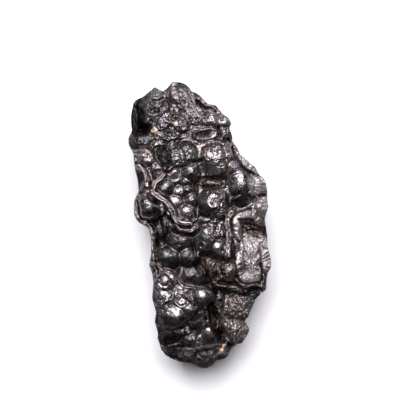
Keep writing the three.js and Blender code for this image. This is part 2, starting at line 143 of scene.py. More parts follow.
# ---- kidneys: (x, y, half width, half length, turn in degrees, height) ----
KIDNEYS = [
    # head
    (-12.8, 51.5, 5.5, 6.2, 0, 2.6), (-12.7, 57, 3.2, 3.6, 0, 1.6), (-19, 52, 4.2, 4.4, 20, 1.6),
    (-21.5, 47.4, 3.6, 5, 0, 1.2), (-3.4, 56.3, 3.7, 4.6, -10, 2), (-8.2, 55.6, 2.5, 2.6, 0, 1),
    (0.5, 52.4, 4.2, 6.4, 15, 2), (10, 42.9, 3.9, 3.8, 20, 2.4), (14.5, 40.9, 2.5, 2.6, 0, 1.8),
    (14.3, 36.6, 2.2, 2.4, 0, 1.2), (2.8, 45.6, 3.6, 3.8, 30, 1.4), (-3.6, 42.4, 3, 3.3, 0, 1.3),
    (-9.8, 44.6, 3.8, 3, 0, 1), (-18, 46, 1.7, 1.7, 0, 1.5),
    # shelf, ringed kidney and its neighbours
    (-21.5, 38, 4.8, 3.2, -8, 1.4), (-20.6, 30, 4.6, 4.8, 0, 2.8), (-16.2, 25, 2.8, 3.3, 30, 1.6),
    (-21.4, 23.6, 2.6, 5.2, 15, 1.4), (-8.5, 37.4, 3.2, 2.9, 0, 1.1), (-7.4, 28.8, 3.4, 4.4, 10, 1.9),
    (-2.6, 29.9, 3.8, 4.6, 0, 2.1), (-8.6, 33, 2.6, 2.2, 0, 1.2),
    # cluster in the basin
    (-14.2, 17, 4.8, 4.4, 20, 2.6), (-9.8, 21.4, 3.4, 3.6, 0, 1.6), (-2.6, 22, 3.7, 4.2, 0, 2.6),
    (-4.8, 18.4, 2.8, 2.5, 20, 1.6), (-8.4, 14.6, 2.3, 2.2, 0, 1.1), (-4.8, 14.6, 3, 2.1, 0, 1.7),
    (-10.8, 10.4, 3.9, 3.4, -20, 2), (-3.8, 10.8, 2.8, 3, 0, 1.9), (-6.6, 5.2, 5, 4.2, 0, 2.9),
    # left bulge
    (-22.8, 10.2, 5.2, 6.6, 10, 3.4),
    # valley
    (-19.4, -2, 1.7, 6.5, 4, 0.9), (-16.6, 0.5, 1.3, 5.2, -4, 0.8), (-14, 1.5, 1.3, 3.6, 0, 0.7),
    (-10.8, -6.2, 5.4, 4.8, -15, 2.2), (-17, -12, 6, 4.9, -14, 3.4), (-8.3, -13.6, 4.4, 5.2, 15, 2.5),
    (-8, -21.4, 6.4, 4.9, -18, 2.6),
    # lower left plateau
    (-19.2, -21.2, 4.8, 4.6, 0, 2.6), (-20.6, -29.4, 4.6, 4.8, 0, 1.6),
    (-13.4, -30.4, 4.9, 4.6, 0, 2.4), (-12.8, -26.6, 3.2, 2.8, 0, 1.3), (-5, -30.3, 4.9, 5.1, 0, 2.9),
    (-18, -36.6, 6.8, 5.5, -8, 3.5), (-11.8, -34.2, 4.8, 4, -25, 2.4),
    # flats and foot
    (-3.4, -46.2, 4.8, 5.2, 0, 3.4), (-8.2, -47.8, 2.4, 3.4, 0, 1.6), (-12.2, -48.2, 2.8, 2.8, 0, 1.4),
    (-19.5, -46.2, 5.4, 4.4, 0, 1.2), (-14.2, -53, 3, 2.6, 0, 1.1), (-6.6, -56.2, 4.8, 3.2, 0, 1.2),
    (0.2, -53.4, 2.2, 2.2, 0, 1.6), (-13, -43.7, 1.2, 1.2, 0, 0.8), (-18, -51, 1.4, 1.1, 0, 0.9),
    (-19.5, -51.8, 1, 0.9, 0, 0.8), (-15.4, -51.3, 1.2, 0.8, 20, 0.8),
    # lower right
    (9.6, -36.8, 5.4, 5, 0, 2.2), (8, -46.6, 5.2, 5.2, 0, 2), (14, -37, 2.6, 3.2, -30, 1.2),
    (1.7, -33.4, 2.2, 5.6, -12, 1.4),
    # middle
    (1.4, -6.4, 6.2, 6.2, 10, 3.6), (7, -20.8, 4, 4.8, 0, 2.6), (1, -17.6, 2.6, 4.4, 25, 1.4),
    (8.6, -8, 4.4, 8.5, 0, 1.7), (13.2, -3, 2, 6.4, 0, 1.4), (12, -19.6, 2.2, 5, 0, 1),
    # upper right
    (9.6, 26.6, 6.8, 7, 0, 3.3), (14.6, 26.5, 2.8, 3.4, 15, 2.6), (5, 7.6, 6, 6.8, 0, 4),
    (7.4, 3.2, 3, 2.6, 0, 3), (8.9, 9, 2.6, 3.2, 0, 3.3), (4.6, -10.6, 3.8, 3.6, 0, 3.6),
    (3.2, 0.6, 4.2, 2.8, 0, 1.2), (15.6, 21.4, 3.2, 4, 20, 2.5), (17.8, 14.8, 5, 7, 8, 3.2),
    (22, 21.6, 3, 5.2, 40, 1.6), (24.6, 13.2, 3.8, 4, 0, 1.8), (25.2, 3.6, 3, 4, 0, 2.6),
    (16.6, 1, 4.6, 2.4, 0, 1.6), (17.4, -15.6, 3.6, 5.6, 0, 1.2), (23.4, -17, 3, 6.4, 0, 1.2),
    (15.8, -25, 5.4, 2.8, 0, 2.2), (6, 16.4, 3.6, 1.4, -8, 1.4), (21.2, 9.5, 1.7, 1.8, 0, 2.6),
]

FACET_EDGE = (0.75, 1.1)  # from where to where a flat face fades out, in squared radii
# ---- flat faces: (x, y, half width, half length, turn, height, fall to +x, rise to +y) ----
FACETS = [
    (5.8, 36.7, 5.8, 2.7, 0, 0.9, 0, 0.04), (-3.9, 56.4, 2.2, 3.8, 0, 1.6, 0.1, 0.1),
    (-12.8, 29.6, 3.2, 5, 10, 0.3, -0.34, 0.05), (-9.5, 21.2, 2.6, 2, 0, 0.6, 0.05, 0.15),
    (-8.2, -39.6, 5, 3, 35, 0.4, 0, 0.08), (-19.5, -45.5, 4.6, 3, 10, 0.7, 0.08, 0.12),
    (13.5, -37, 2.2, 3, -30, 1.6, 0.2, 0.1), (16.2, 6.8, 4, 2.8, 0, 0.3, 0, 0.42),
    (-16.2, 23.2, 2, 1.8, 20, 0.8, 0, 0.1), (8.8, -28.6, 3.4, 0.9, -10, 0.6, 0, 0.1),
]

BAND_EDGE = (0.85, 1.25)  # from where to where a band fades out, in half widths
# ---- bands, which take the place of whatever is beneath them: (height, width, points) ----
BANDS = [
    (1.9, 2.1, [(-13.5, 22.5), (-15.5, 21), (-18, 20), (-19.2, 18), (-19.2, 16), (-17, 13.5),
        (-14.5, 12), (-13, 9.5), (-12, 6.5), (-11.8, 4), (-10.5, 2.3), (-8, 1.2), (-5.5, 0.6)]),
    (2.6, 2.4, [(12, 3.2), (10.4, 1.2), (9.4, -1.4), (9.5, -4.5), (9.7, -7.5), (9, -11), (7.6, -15)]),
    (1, 1.6, [(-12, 1), (-10.5, -1), (-8.5, -2), (-6, -2.4), (-4, -1)]),
    (1.6, 1.7, [(-23.7, 27.3), (-22, 25.5), (-21, 23.5), (-20.7, 21.5), (-21, 19.5)]),
    (1, 1.3, [(-27.2, 12), (-27.3, 8), (-26.3, 5.2), (-24.4, 3.8), (-22.9, 2.4), (-22.2, 0),
        (-21.9, -4), (-22.1, -8)]),
]

# ---- ribbons, raised on what is beneath them, with a groove along them: (height, width, points) ----
RIBBONS = [
    (0.7, 1, [(-21.2, 21.5), (-22.5, 20.5), (-24, 18)]),
    (0.9, 1.1, [(-24, 34), (-22, 34.2), (-19.5, 33.6), (-17.8, 32.2), (-17.3, 30.8), (-17.6, 29.8)]),
    (0.8, 0.9, [(-24, 32.3), (-21.5, 32), (-19.5, 31.2)]),
    (0.8, 1.2, [(-16, 48.5), (-14, 47.3), (-11, 48), (-9, 49.5)]),
    (1, 1.2, [(5.5, 51.5), (7, 49.4), (9, 48.1), (11, 46.8), (13.5, 44.5)]),
    (0.8, 1, [(14, 44), (12.6, 42), (12.2, 40)]),
    (0.8, 1, [(0.5, 39), (3, 39.6), (6, 39.5), (8.5, 38.8), (10.3, 38)]),
    (0.7, 0.9, [(2, 34.3), (5, 33.7), (9, 33.6)]),
    (0.7, 1, [(1, 36.5), (0.8, 34.5), (3, 33)]),
    (0.9, 1.3, [(-24, -13), (-22, -14.5), (-19, -16.3), (-15.5, -17.8), (-15, -20), (-13.5, -21.5),
        (-12.5, -23.8), (-10, -24.8), (-6, -25.8), (-3.5, -27), (-1.5, -28.5), (0, -31), (0.2, -34)]),
    (0.7, 0.9, [(-21.5, -16), (-16, -19.3), (-15.3, -21.8)]),
    (0.5, 0.6, [(-14, -39.3), (-12, -38.5), (-9.7, -36.8)]),
    (0.6, 0.9, [(10, -25), (12, -27.5), (14.5, -28), (17.5, -28), (20, -29.5)]),
    (0.9, 1, [(15.5, -3), (16.5, -1.5), (19, -1.5), (20.5, -2.5)]),
    (0.8, 1, [(14.5, -22.5), (16.5, -23.8), (19, -23.2), (20, -23.8)]),
    (0.7, 0.7, [(12.5, 5.8), (15.3, 3.8), (18, 3.5), (19, 4.5), (21, 5.3)]),
    (1, 1.1, [(4, 17), (6, 16), (9, 15.3)]),
    (0.8, 0.8, [(4.3, 8.5), (5.5, 10), (7, 10.3)]),
    (0.6, 0.6, [(-17, 29), (-15, 26), (-13.5, 24.3)]),
    (0.5, 0.6, [(-12, 32.3), (-10, 28.8), (-8.8, 26.3)]),
    (0.6, 0.8, [(-10.5, 22.8), (-9, 24), (-7, 24.4), (-6, 23), (-6.3, 21)]),
    (0.5, 0.7, [(-18, 10), (-17, 8.5), (-15.5, 7.2)]),
    (0.6, 0.8, [(-12, -17), (-13, -20)]),
    (0.6, 0.8, [(-9.8, -46), (-10, -50.5)]),
    (0.3, 0.8, [(-14.5, -50), (-12, -51), (-9.5, -51)]),
    (0.4, 0.9, [(-8.5, -50.2), (-5, -51.4), (-1, -50.6)]),
    (0.6, 0.8, [(3.5, -20), (4, -23.5), (2.8, -24), (1.5, -22)]),
    (0.8, 1, [(3.5, -31), (4, -34), (2.8, -37), (1.5, -40), (1.5, -44), (2, -49), (4, -51)]),
    (0.7, 0.8, [(11.5, -35), (11, -38)]),
    (0.9, 1.3, [(-1, 57), (0.8, 54), (1.6, 50.5), (3, 47.5), (4.2, 44.5), (6, 42)]),
    (0.8, 1.2, [(2.2, 55.4), (3.2, 52.2), (4.2, 48.6), (5.8, 45.4)]),
    (0.7, 1.2, [(-2.2, 51), (-0.6, 48.4), (1.2, 45.2), (2.6, 41.8)]),
]

CRACK_SHARPNESS = 0.8  # a larger number makes the grooves narrower
# ---- cracks and grooves: (depth, width, points) ----
CRACKS = [
    (2.2, 0.9, [(-13, 23.3), (-10.8, 23.2), (-8, 24.8), (-3, 25.2), (-1.5, 25.8), (1, 26.2),
        (3, 26.3)]),
    (1.8, 0.8, [(-1.3, 17), (-1.4, 12), (-2, 9), (-2.6, 6.5), (-2.8, 4)]),
    (2.2, 1.1, [(-10, 0.9), (-8, 0), (-6, -0.6)]),
    (2.4, 1.2, [(-13, -1), (-9, -3), (-5.5, -4.2), (-2.5, -2.3)]),
    (2, 1.6, [(-21, 15.5), (-20, 13), (-17.5, 11.5)]),
    (1.6, 0.9, [(-22, 27.5), (-20, 23), (-20, 18)]),
    (1.8, 0.9, [(-26.5, 14), (-26.3, 8), (-25, 5.8), (-23, 4.8), (-21.5, 3), (-21.3, 0)]),
    (1.4, 0.8, [(-14, 54), (-11, 53.5), (-9.5, 54)]),
    (1.2, 0.7, [(-8, 54), (-6.5, 52.5), (-5.5, 51.4), (-1, 51)]),
    (1.8, 1.3, [(4.5, 51), (6, 48.6), (8, 47.3), (11, 46)]),
    (1.6, 1, [(11.5, 39), (11.5, 35.5)]),
    (2.2, 0.8, [(20, 3.2), (17.5, 3), (14.5, 2.6), (12.5, 1.2), (11.3, -1), (11, -4), (11.5, -6.5),
        (12.5, -8.5), (13.5, -9.7)]),
    (1.4, 1.6, [(10.7, -8), (10.5, -12), (10.4, -16)]),
    (1.8, 0.8, [(15, -0.5), (16.5, -0.9), (19, -0.9), (20.5, -1.5), (21, -3.5)]),
    (1.8, 0.9, [(10.2, -22), (10.5, -24.5), (12.5, -26.5), (14.5, -27.5), (18.5, -27.3),
        (19.5, -28.5)]),
    (2, 1.1, [(21, -20), (21, -24), (20.5, -27)]),
    (3, 1.1, [(14.9, 33.8), (16.2, 30.2), (17.3, 25.2), (19.1, 21.3), (21, 19.4), (23.8, 17.6)]),
    (2.4, 1.4, [(3, -25), (8, -26.5), (12, -28)]),
    (1.6, 0.9, [(8, -30), (14, -32)]),
    (1.2, 0.7, [(-13, -28.5), (-10.5, -31.5), (-8.5, -33.5)]),
    (1.2, 0.8, [(-22.3, -15), (-21.5, -18)]),
    (1.6, 1, [(7.5, -1.5), (8.2, -4.5), (7.3, -8), (6, -12)]),
    (2.2, 0.9, [(-3, -12.5), (0, -13.2), (3, -14.6), (5, -16), (8, -17)]),
    (2.2, 1, [(6, 18), (8.5, 18.3), (11, 17.6)]),
    (1.8, 0.8, [(2, 15.2), (4.5, 14.8), (7, 15.2)]),
    (1.2, 0.8, [(3, 28), (4, 31), (6, 32.3), (11, 32.5)]),
    (1.4, 0.9, [(12.2, 31), (12.2, 25), (12.4, 17)]),
    (1.8, 1.2, [(24.6, 8.6), (27.4, 8.2)]),
    (1.4, 1, [(-4.5, -36), (-5, -40)]),
    (1.4, 1, [(-1, -36), (-1, -43)]),
    (0.8, 0.6, [(7.2, -50.5), (7, -48), (8.5, -46.3), (11, -44.5)]),
]

PIT_FULLNESS = 0.4  # a smaller number makes the walls of the pits steeper
# ---- dents and pits: (x, y, half width, half length, depth) ----
PITS = [
    (-13.5, 49.5, 1.8, 1.3, 1.8), (-14.7, 38.9, 0.7, 0.6, 1.2), (-7.6, 42, 0.6, 0.6, 1),
    (-6.2, 46.3, 0.6, 0.6, 1), (-5, 46.8, 0.5, 0.5, 1), (-20.4, 50.5, 0.7, 0.7, 1),
    (-13, 23.3, 1, 1, 2), (-20.5, 3.6, 0.8, 1.4, 1.4), (5.8, 36.6, 4.6, 1.8, 0.1),
    (0.3, -47, 1.3, 1.6, 2.5), (17, -3, 2.4, 1.2, 1.8), (16.5, -30.5, 2.4, 1.3, 2),
    (-2.3, -8.7, 0.9, 1.3, 0.8), (22, 7, 1.6, 1.2, 1.6), (-20, 42.5, 3.2, 1.4, 2.4),
    (10, -42, 1.2, 1.2, 1), (6, -41, 1, 1.4, 1),
]

RING_WIDTH = 0.32
# ---- growth rings round a kidney's top: (x, y, ring radii, height) ----
RINGS = [
    (-13.8, -30.2, (1.5, 2.8), 0.5), (-19.5, -21.3, (2,), -0.6), (-19.5, -21.3, (3.2,), 0.4),
    (-14, -52.7, (1.5,), 0.5), (-13, -43.7, (1.2,), 0.5), (-2.3, -8.7, (1.5,), 0.45),
    (-20.5, 3.6, (1.6,), 0.5), (10.5, 23.8, (1, 2), 0.5), (5.3, 9, (2.8,), 0.4),
    (-20.4, 29, (3.6,), 0.4),
]

PATCH_EDGE = (0.7, 1.25)  # from where to where a patch fades out, in radii
# ---- surface kinds, as patches: (x, y, half width, half length, turn, strength) ----
# Rough ground, crusted with millimetre lumps.
ROUGH = [
    (-12.5, 52.5, 6, 6, 0, 1), (-20.5, 49, 4.5, 7, 0, 1), (-8, 42, 9, 8, 0, 0.8),
    (2, 49, 6, 10, 20, 0.6), (-10, 57, 5, 3, 0, 0.8), (9, -37, 8, 7, 0, 1), (8, -47, 7, 6, 0, 1),
    (-8, -56, 10, 4, 0, 0.8), (3, -19.5, 5, 5.5, 20, 0.9), (-21, -31, 3, 4, 0, 0.7),
    (-17.5, -27, 3, 2.5, 0, 0.6), (25, 4, 3, 4, 0, 0.9), (14.6, 27, 3.4, 5, 0, 0.7),
    (8.5, 29.5, 5, 4, 0, 0.5), (8.5, 6, 3, 6, 0, 0.6), (12, -31, 8, 3, 0, 0.8), (1.5, 53, 5, 6, 0, 0.6),
    (14, 38, 3, 5, 0, 0.5), (-18, -51, 6, 4, 0, 0.6), (-3, -52.5, 6, 2.5, 0, 0.8),
    (4.6, -3, 3.6, 5.5, 0, 0.7), (16.5, 2, 5, 2, 0, 0.5), (7.4, 3, 3, 3, 0, 0.8),
    (-21, 38, 5, 3, 0, 0.5), (-5, 30, 6, 5, 0, 0.5), (-13, 29.5, 3, 5, 0, 0.35),
    (16, 30, 2.4, 4, 0, 0.8),
]
# Dull, smooth and dark, with next to no small relief.
STILL = [
    (5.8, 36.6, 4.6, 2, 0, 1), (-3.8, 56, 2, 4, 0, 0.9), (-12.8, 29.3, 3.4, 4.8, 10, 0.15),
    (-9.5, 21, 3, 2.5, 0, 0.8), (16.5, 8, 4, 3.4, 0, 0.9), (2.5, 7, 3.4, 5.5, 0, 0.7),
    (0.5, -6.5, 4.5, 5, 0, 0.5), (12.2, -19.5, 1.8, 3.6, 0, 0.9), (13.5, -37, 2.4, 3, 0, 0.8),
    (-19, -46, 6, 4, 0, 0.7), (-8, -39.5, 5, 3.6, 0, 0.9), (-16, 23.5, 2.5, 2.4, 0, 0.8),
    (14, 19, 1.2, 5, 0, 0.8), (-7, -22, 6, 4, 0, 0.5), (-17, -12, 5.5, 4, 0, 0.7),
    (-9, -12, 4, 5, 0, 0.6), (-8, -21.5, 6, 4, 0, 0.7), (-14, -1, 6, 6, 0, 0.4),
    (-8, 13, 8, 10, 0, 0.4), (-23, 9.5, 4.5, 6, 0, 0.4), (-17, -37.5, 7, 4.5, 0, 0.5),
    (-13.8, -30.2, 4, 4, 0, 0.4), (-5, -30.3, 5, 5, 0, 0.6), (-19.5, -21.3, 4, 4, 0, 0.8),
    (-3.4, -46, 4.4, 4.4, 0, 0.4), (17.6, 14, 4.5, 6, 0, 0.3),
]
# Radial fibres, and the points that they spread from.
FIBRES = [
    (17.5, -14.5, 4.6, 7.5, 0, 1), (15.5, 1.2, 5.2, 2.2, 0, 1), (13.2, -4, 2, 4.6, 0, 1),
    (16.5, -23.5, 5, 3, 0, 1), (23.5, -16, 2.4, 8, 0, 0.9), (24.6, 14, 4, 6, 0, 0.8),
    (21, 22.5, 2.6, 5, 40, 0.8), (24.5, 5, 3, 4.4, 0, 0.45), (22, 1, 4, 2.4, 0, 0.4),
]
FIBRE_ROOTS = [(17.5, -7.0), (16.8, -20.5), (19.0, 14.0)]
# Brown iron ochre.
OCHRE = [
    (21, -7, 4.5, 2.4, -10, 1), (3, -16, 5, 4, 20, 0.6), (7, -21, 4, 5, 0, 0.35),
    (9, -42, 8, 11, 0, 0.6), (24, -0.5, 3, 3, 0, 0.7), (25, 4, 3, 4, 0, 0.5),
    (12.2, 24, 0.8, 7.5, 0, 0.9), (4, 31, 2.2, 3, 30, 0.7), (-15.5, 20.8, 2.6, 1.2, 20, 0.9),
    (-3.2, -17.5, 1.4, 2.4, 30, 0.7), (7, 20.4, 3, 1, 0, 0.7), (4.5, 15, 3, 0.8, 0, 0.8),
    (-14, -52.8, 2, 1.8, 0, 0.7), (-3, -51.5, 5, 1.4, 0, 0.7), (9, 12, 1.6, 1.4, 0, 0.8),
    (21.5, 6.6, 2, 1.2, 0, 0.8), (-6, 55.8, 0.8, 1.8, 0, 0.7), (8.5, -46.8, 2.6, 3.6, 0, 0.6),
    (-8.2, 47.3, 1.4, 1.2, 0, 0.6), (-15, 38.5, 2.4, 2.8, 0, 0.5),
]
# Dull black patches in furrows, holes, slots under kidneys and on faces turned away from the light:
# partly the ore's own dull black, partly painted shade.
DULL_BLACK_AND_SHADE = [
    (-0.6, -40, 2.6, 10.5, 5, 1), (-18.4, -0.5, 3.4, 6.5, 0, 0.8), (-21.2, 49.5, 4.6, 7.5, 0, 1),
    (-20, 42.6, 3.6, 1.5, 0, 1), (-8.5, -39.5, 5.4, 3.6, 30, 0.8), (-19, -45.6, 7, 4, 0, 0.85),
    (0.5, 52, 6, 9, 15, 0.35), (-12.5, 52.5, 6, 6, 0, 0.3), (-3, 39, 5, 5, 0, 0.3),
    (-12, -56, 9, 3, -10, 0.5), (0.3, -47, 1.6, 2.2, 0, 1), (-8, -22, 6.5, 3.2, -18, 0.6),
    (-10.5, -16.5, 4.4, 4.5, 15, 0.8), (-3, -18, 3.6, 6, 25, 0.9), (4, -20.5, 3.6, 3.6, 0, 0.8),
    (-14, -6, 5, 6, 0, 0.4), (-17, -12.5, 5, 4, 0, 0.45), (-8.3, -14, 4, 4.6, 0, 0.45),
    (-12.8, 29.6, 4, 5.4, 10, 0.95), (-20, -50, 4, 3, 0, 0.6), (-2, -50, 3, 2.4, 0, 0.5),
    (-2.2, 27.5, 3, 1.6, 0, 0.4), (-5, 33, 6, 2.4, 0, 0.6), (-2.4, -3.8, 2.4, 3.6, 0, 0.8),
    (-22.5, -40, 3, 5, 0, 0.6), (-16, -48, 6, 4, 0, 0.8), (-21, 38.3, 5, 3, 0, 0.6),
    (-15, 15.5, 4, 4, 0, 0.3), (5.8, 36.6, 4.8, 2, 0, 0.8), (16.4, 7.4, 4.4, 3, 0, 0.4),
    (16.5, -30.6, 3, 1.5, 0, 0.9), (20.8, -26, 1.8, 2.4, 0, 0.8), (3.6, -26.6, 3.6, 1.6, -15, 0.9),
    (-1.5, -28, 3, 2, 0, 0.6), (6.5, 18.1, 5.2, 1.2, 0, 0.9), (-24, 21, 1.6, 6, 0, 0.8),
    (-7.5, 0.1, 3.6, 0.8, -20, 0.9), (-7, -3.4, 6, 0.9, 10, 0.9), (18.5, -3.4, 3, 1.2, 0, 0.8),
    (1, 5.4, 1.8, 5, 0, 0.4), (-16.5, -15.4, 5, 1.6, -10, 0.6), (-14, -57.2, 9, 2.6, -10, 0.7),
    (-4, -58.6, 8, 2.4, 10, 0.6), (16.5, 7.6, 4, 3.4, 0, 0.5), (-3.2, -49.6, 4.6, 1.8, 0, 0.5),
    (24.5, -25, 2, 4, 0, 0.5), (-18, -40.4, 7, 1.8, -5, 0.7), (-0.5, -24, 2.6, 5, 10, 0.7),
    (25.8, 8.6, 2.2, 1.6, 0, 0.7),
]
# Green-grey film on the smooth dark faces.
MOSS = [
    (-18.8, 50, 2.2, 4.5, 0, 0.6), (-13.4, 30.4, 2, 3.4, 10, 0.3), (-9.5, 21, 3, 2.6, 0, 0.9),
    (2.2, 23.5, 2.4, 3.4, 0, 0.8), (1.5, -35, 1.2, 4, 0, 0.9), (8.8, -28.7, 3.4, 1, -10, 0.9),
    (-2.5, -7, 3, 5, 0, 0.7), (-3.8, 56, 2, 4, 0, 0.5),
]
# Lighter ore on kidney tops and lit faces: partly polished brighter than the rest, partly a painted
# highlight where the key light falls.
POLISH_AND_HIGHLIGHT = [
    (-19.5, -22.5, 7, 5, -20, 1), (-12, -25.5, 5, 3, -15, 0.8), (5.2, -5, 3.6, 6.5, 0, 0.9),
    (6, -11, 4.4, 4, 0, 1), (8.5, -7, 3, 8, 0, 0.8), (-2, -55.5, 5, 2.5, 0, 0.5), (25, 4, 3, 4, 0, 1),
    (-15, -52.5, 4, 2.5, 0, 0.4), (16, -27.5, 6, 2, -20, 0.5),
    (7.5, 3.5, 3.4, 4, 0, 0.8), (-6.5, 5.5, 5, 4.5, 0, 1), (-5, 29, 6, 5, 0, 1), (9.5, 26, 6, 7, 0, 1),
    (17.5, 24.5, 3, 5, 0, 0.9), (23, 9, 5, 5, 0, 1), (22, 1.5, 6, 4, 0, 1), (8, 11, 3.6, 3, 0, 0.8),
    (16.5, 17, 4, 5, 0, 0.8), (-9, 14, 7, 8, 0, 0.35), (7, 3, 4, 4, 0, 1), (11, 42, 6, 4, 0, 0.5),
    (14, -8, 5, 9, 0, 0.5), (-20.5, 30, 5, 5, 0, 0.5), (2, 49, 3.6, 8, 20, 0.7),
    (-12.5, 55, 3, 3, 0, 0.5), (3.5, 44.5, 5, 5, 20, 0.4), (-14, -32, 6, 5, 0, 0.5),
    (-3.5, -44.5, 4, 3, 0, 0.5), (-20.5, 28, 4, 4, 0, 0.5), (-23, 12, 3, 4, 0, 0.4),
]
# Pale grains: (x, y, radius, how far from cream towards orange).
GRAINS = [
    (0.3, -53.3, 0.9, 0.6), (-15, 41.3, 1.2, 0.2), (-6, 42.8, 0.9, 0.1), (-7, 49.3, 0.6, 0.5),
    (-8.5, 47.3, 0.5, 0.6), (-7.6, 41.2, 0.5, 0.5), (-14.8, 39.8, 0.5, 0.5), (-4, 37, 0.6, 0.5),
    (-15.5, 36.6, 0.5, 0.6), (-12.5, 36.3, 0.4, 0.6), (-14.7, -40.3, 0.4, 0.4),
    (-12.8, -41.6, 0.4, 0.4), (1.4, -52, 0.8, 0.9), (-0.9, -54.4, 0.7, 0.1),
]

# ---- small relief all over the front, in millimetres ----
WANDER = 0.45  # how far the listed shapes' edges wander
PEBBLE_SHIFT = 0.55  # how far the pebbles' pattern is bent
PEBBLE_FOOT = 0.6  # how far the pebbles' creases lie below their ground
CREASE_DEPTH = 0.95
GRIT_HEIGHT = 0.17
SWELL_HEIGHT = 0.35
FIBRE_HEIGHT = 1.1
RAGGEDNESS = 1.4  # how far the edges of the colour patches wander
COLUMN_STRETCH = 6  # how many times taller than wide the splintery columns of the sides are

# What paint_kinds writes and the material reads.
PAINTED = ("crevice", "crest", "rough", "still", "fibre", "trim", "ochre", "dull_black_and_shade", "moss", "polish_and_highlight",
           "grain", "tone", "broken")

# ---- the stage: each lamp's place and size in metres, and the camera ----
KEY_LIGHT = ((0.02, 0.60, 1.14), 1.25)
LEFT_FILL = ((-1.0, 0.2, 0.45), 0.7)
RIGHT_FILL = ((1.0, 0.3, 0.45), 0.7)
LAMP_COLOUR = (0.97, 0.95, 1.0)
SENSOR = 36.0  # width of the camera's sensor, in millimetres
AIM = (2.64, 6.25)  # the point of the stone, in millimetres, that is in the middle of the view


# ---------------------------------------------------------------- measuring on a sheet of points
def smoothstep(low, high, value):
    """0 at low, 1 at high, and a smooth rise between them."""
    t = np.clip((value - low) / (high - low), 0, 1)
    return t * t * (3 - 2 * t)


def bell(value, centre, width):
    """1 at the centre, falling smoothly to 0 on both sides."""
    return np.exp(-((value - centre) / width) ** 2)


def segments_of(points, closed):
    """Pairs of neighbouring points."""
    ends = points[1:] + points[:1] if closed else points[1:]
    return zip(points, ends)


def line_distance(x, y, points, closed=False):
    """Distance to a line through the points."""
    nearest = np.full(x.shape, np.inf)
    for (ax, ay), (bx, by) in segments_of(points, closed):
        ex, ey = bx - ax, by - ay
        t = np.clip(((x - ax) * ex + (y - ay) * ey) / (ex * ex + ey * ey), 0, 1)
        nearest = np.minimum(nearest, (x - ax - t * ex) ** 2 + (y - ay - t * ey) ** 2)
    return np.sqrt(nearest)


def edge_distance(x, y, outline):
    """Distance to a closed outline, less than 0 inside it."""
    inside = np.zeros(x.shape, bool)
    for (ax, ay), (bx, by) in segments_of(outline, True):
        if ay != by:
            inside ^= ((ay > y) != (by > y)) & (x < ax + (bx - ax) * (y - ay) / (by - ay))
    gap = line_distance(x, y, outline, closed=True)
    return np.where(inside, -gap, gap)


def near(x, y, points, reach):
    """Which points lie within reach of the box round a line, so the rest can be skipped."""
    xs, ys = zip(*points)
    return ((x > min(xs) - reach) & (x < max(xs) + reach)
            & (y > min(ys) - reach) & (y < max(ys) + reach))


def along(x, y, points, width, reach):
    """Which points lie near a line, and how far each is from it, in half widths."""
    at = near(x, y, points, reach)
    return at, line_distance(x[at], y[at], points) / (width / 2)


def oval(x, y, cx, cy, half_width, half_length, turn=0.0):
    """Squared distance from an oval's centre, 1 on its edge."""
    c, s = math.cos(math.radians(turn)), math.sin(math.radians(turn))
    u = ((x - cx) * c + (y - cy) * s) / half_width
    v = (-(x - cx) * s + (y - cy) * c) / half_length
    return u * u + v * v


def patches(x, y, table):
    """The strongest of several soft-edged patches."""
    total = np.zeros(x.shape)
    for cx, cy, half_width, half_length, turn, strength in table:
        reach = np.sqrt(oval(x, y, cx, cy, half_width, half_length, turn))
        total = np.maximum(total, strength * (1 - smoothstep(*PATCH_EDGE, reach)))
    return total


def mark(mask, at, values):
    """Raises a mask to the values where they are higher."""
    mask[at] = np.maximum(mask[at], values)


# ---------------------------------------------------------------- noise
class Noise:
    """Smooth random values in space, the same on every run."""
    SIDE = 64
    FAR_CORNER = 1000.0  # keeps the lattice's places positive

    def __init__(self, seed):
        self.lattice = np.random.default_rng(seed).uniform(-1, 1, (self.SIDE,) * 3)

    def __call__(self, x, y, z, size):
        cell, part = [], []
        for value in (x, y, z):
            scaled = value / size + self.FAR_CORNER
            whole = np.floor(scaled)
            t = scaled - whole
            part.append(t * t * (3 - 2 * t))
            cell.append(whole.astype(int))
        total = 0.0
        for corner in range(8):
            weight = 1.0
            index = []
            for axis in range(3):
                bit = corner >> axis & 1
                weight = weight * (part[axis] if bit else 1 - part[axis])
                index.append((cell[axis] + bit) % self.SIDE)
            total = total + weight * self.lattice[tuple(index)]
        return total

    def layered(self, x, y, z, size, layers):
        """Several layers of noise, each half as large and half as strong as the one before."""
        total, strength = 0.0, 1.0
        for layer in range(layers):
            total = total + strength * self(x, y, z + 37.0 * layer, size / 2 ** layer)
            strength *= 0.5
        return total


def pebbles(x, y, size, seed):
    """Small domes packed side by side: 1 at the top of each, 0 in the creases between them."""
    rng = np.random.default_rng(seed)
    side = 97  # the pattern repeats after this many pebbles
    spread = 0.85  # how far a pebble may stand from the middle of its cell
    jitter = rng.uniform(-0.5, 0.5, (side, side, 2)) * spread
    scale = rng.uniform(0.75, 1.25, (side, side))
    gx, gy = x / size + 500.0, y / size + 500.0
    ix, iy = np.floor(gx).astype(int), np.floor(gy).astype(int)
    best = np.zeros(x.shape)
    for ox in (-1, 0, 1):
        for oy in (-1, 0, 1):
            cx, cy = ix + ox, iy + oy
            shift = jitter[cx % side, cy % side]
            dx = gx - cx - 0.5 - shift[..., 0]
            dy = gy - cy - 0.5 - shift[..., 1]
            reach = scale[cx % side, cy % side] ** 2 - dx * dx - dy * dy
            best = np.maximum(best, reach)
    return np.sqrt(np.clip(best, 0, None))


GRAIN_NOISE = Noise(11)
WARP_NOISE = Noise(23)


# ---------------------------------------------------------------- the front's height
def spine_height(y):
    """Height of the front's middle line."""
    ys, zs = map(np.array, zip(*SPINE))
    span = np.clip(np.searchsorted(ys, y) - 1, 0, len(ys) - 2)
    t = smoothstep(ys[span], ys[span + 1], y)
    return zs[span] + (zs[span + 1] - zs[span]) * t


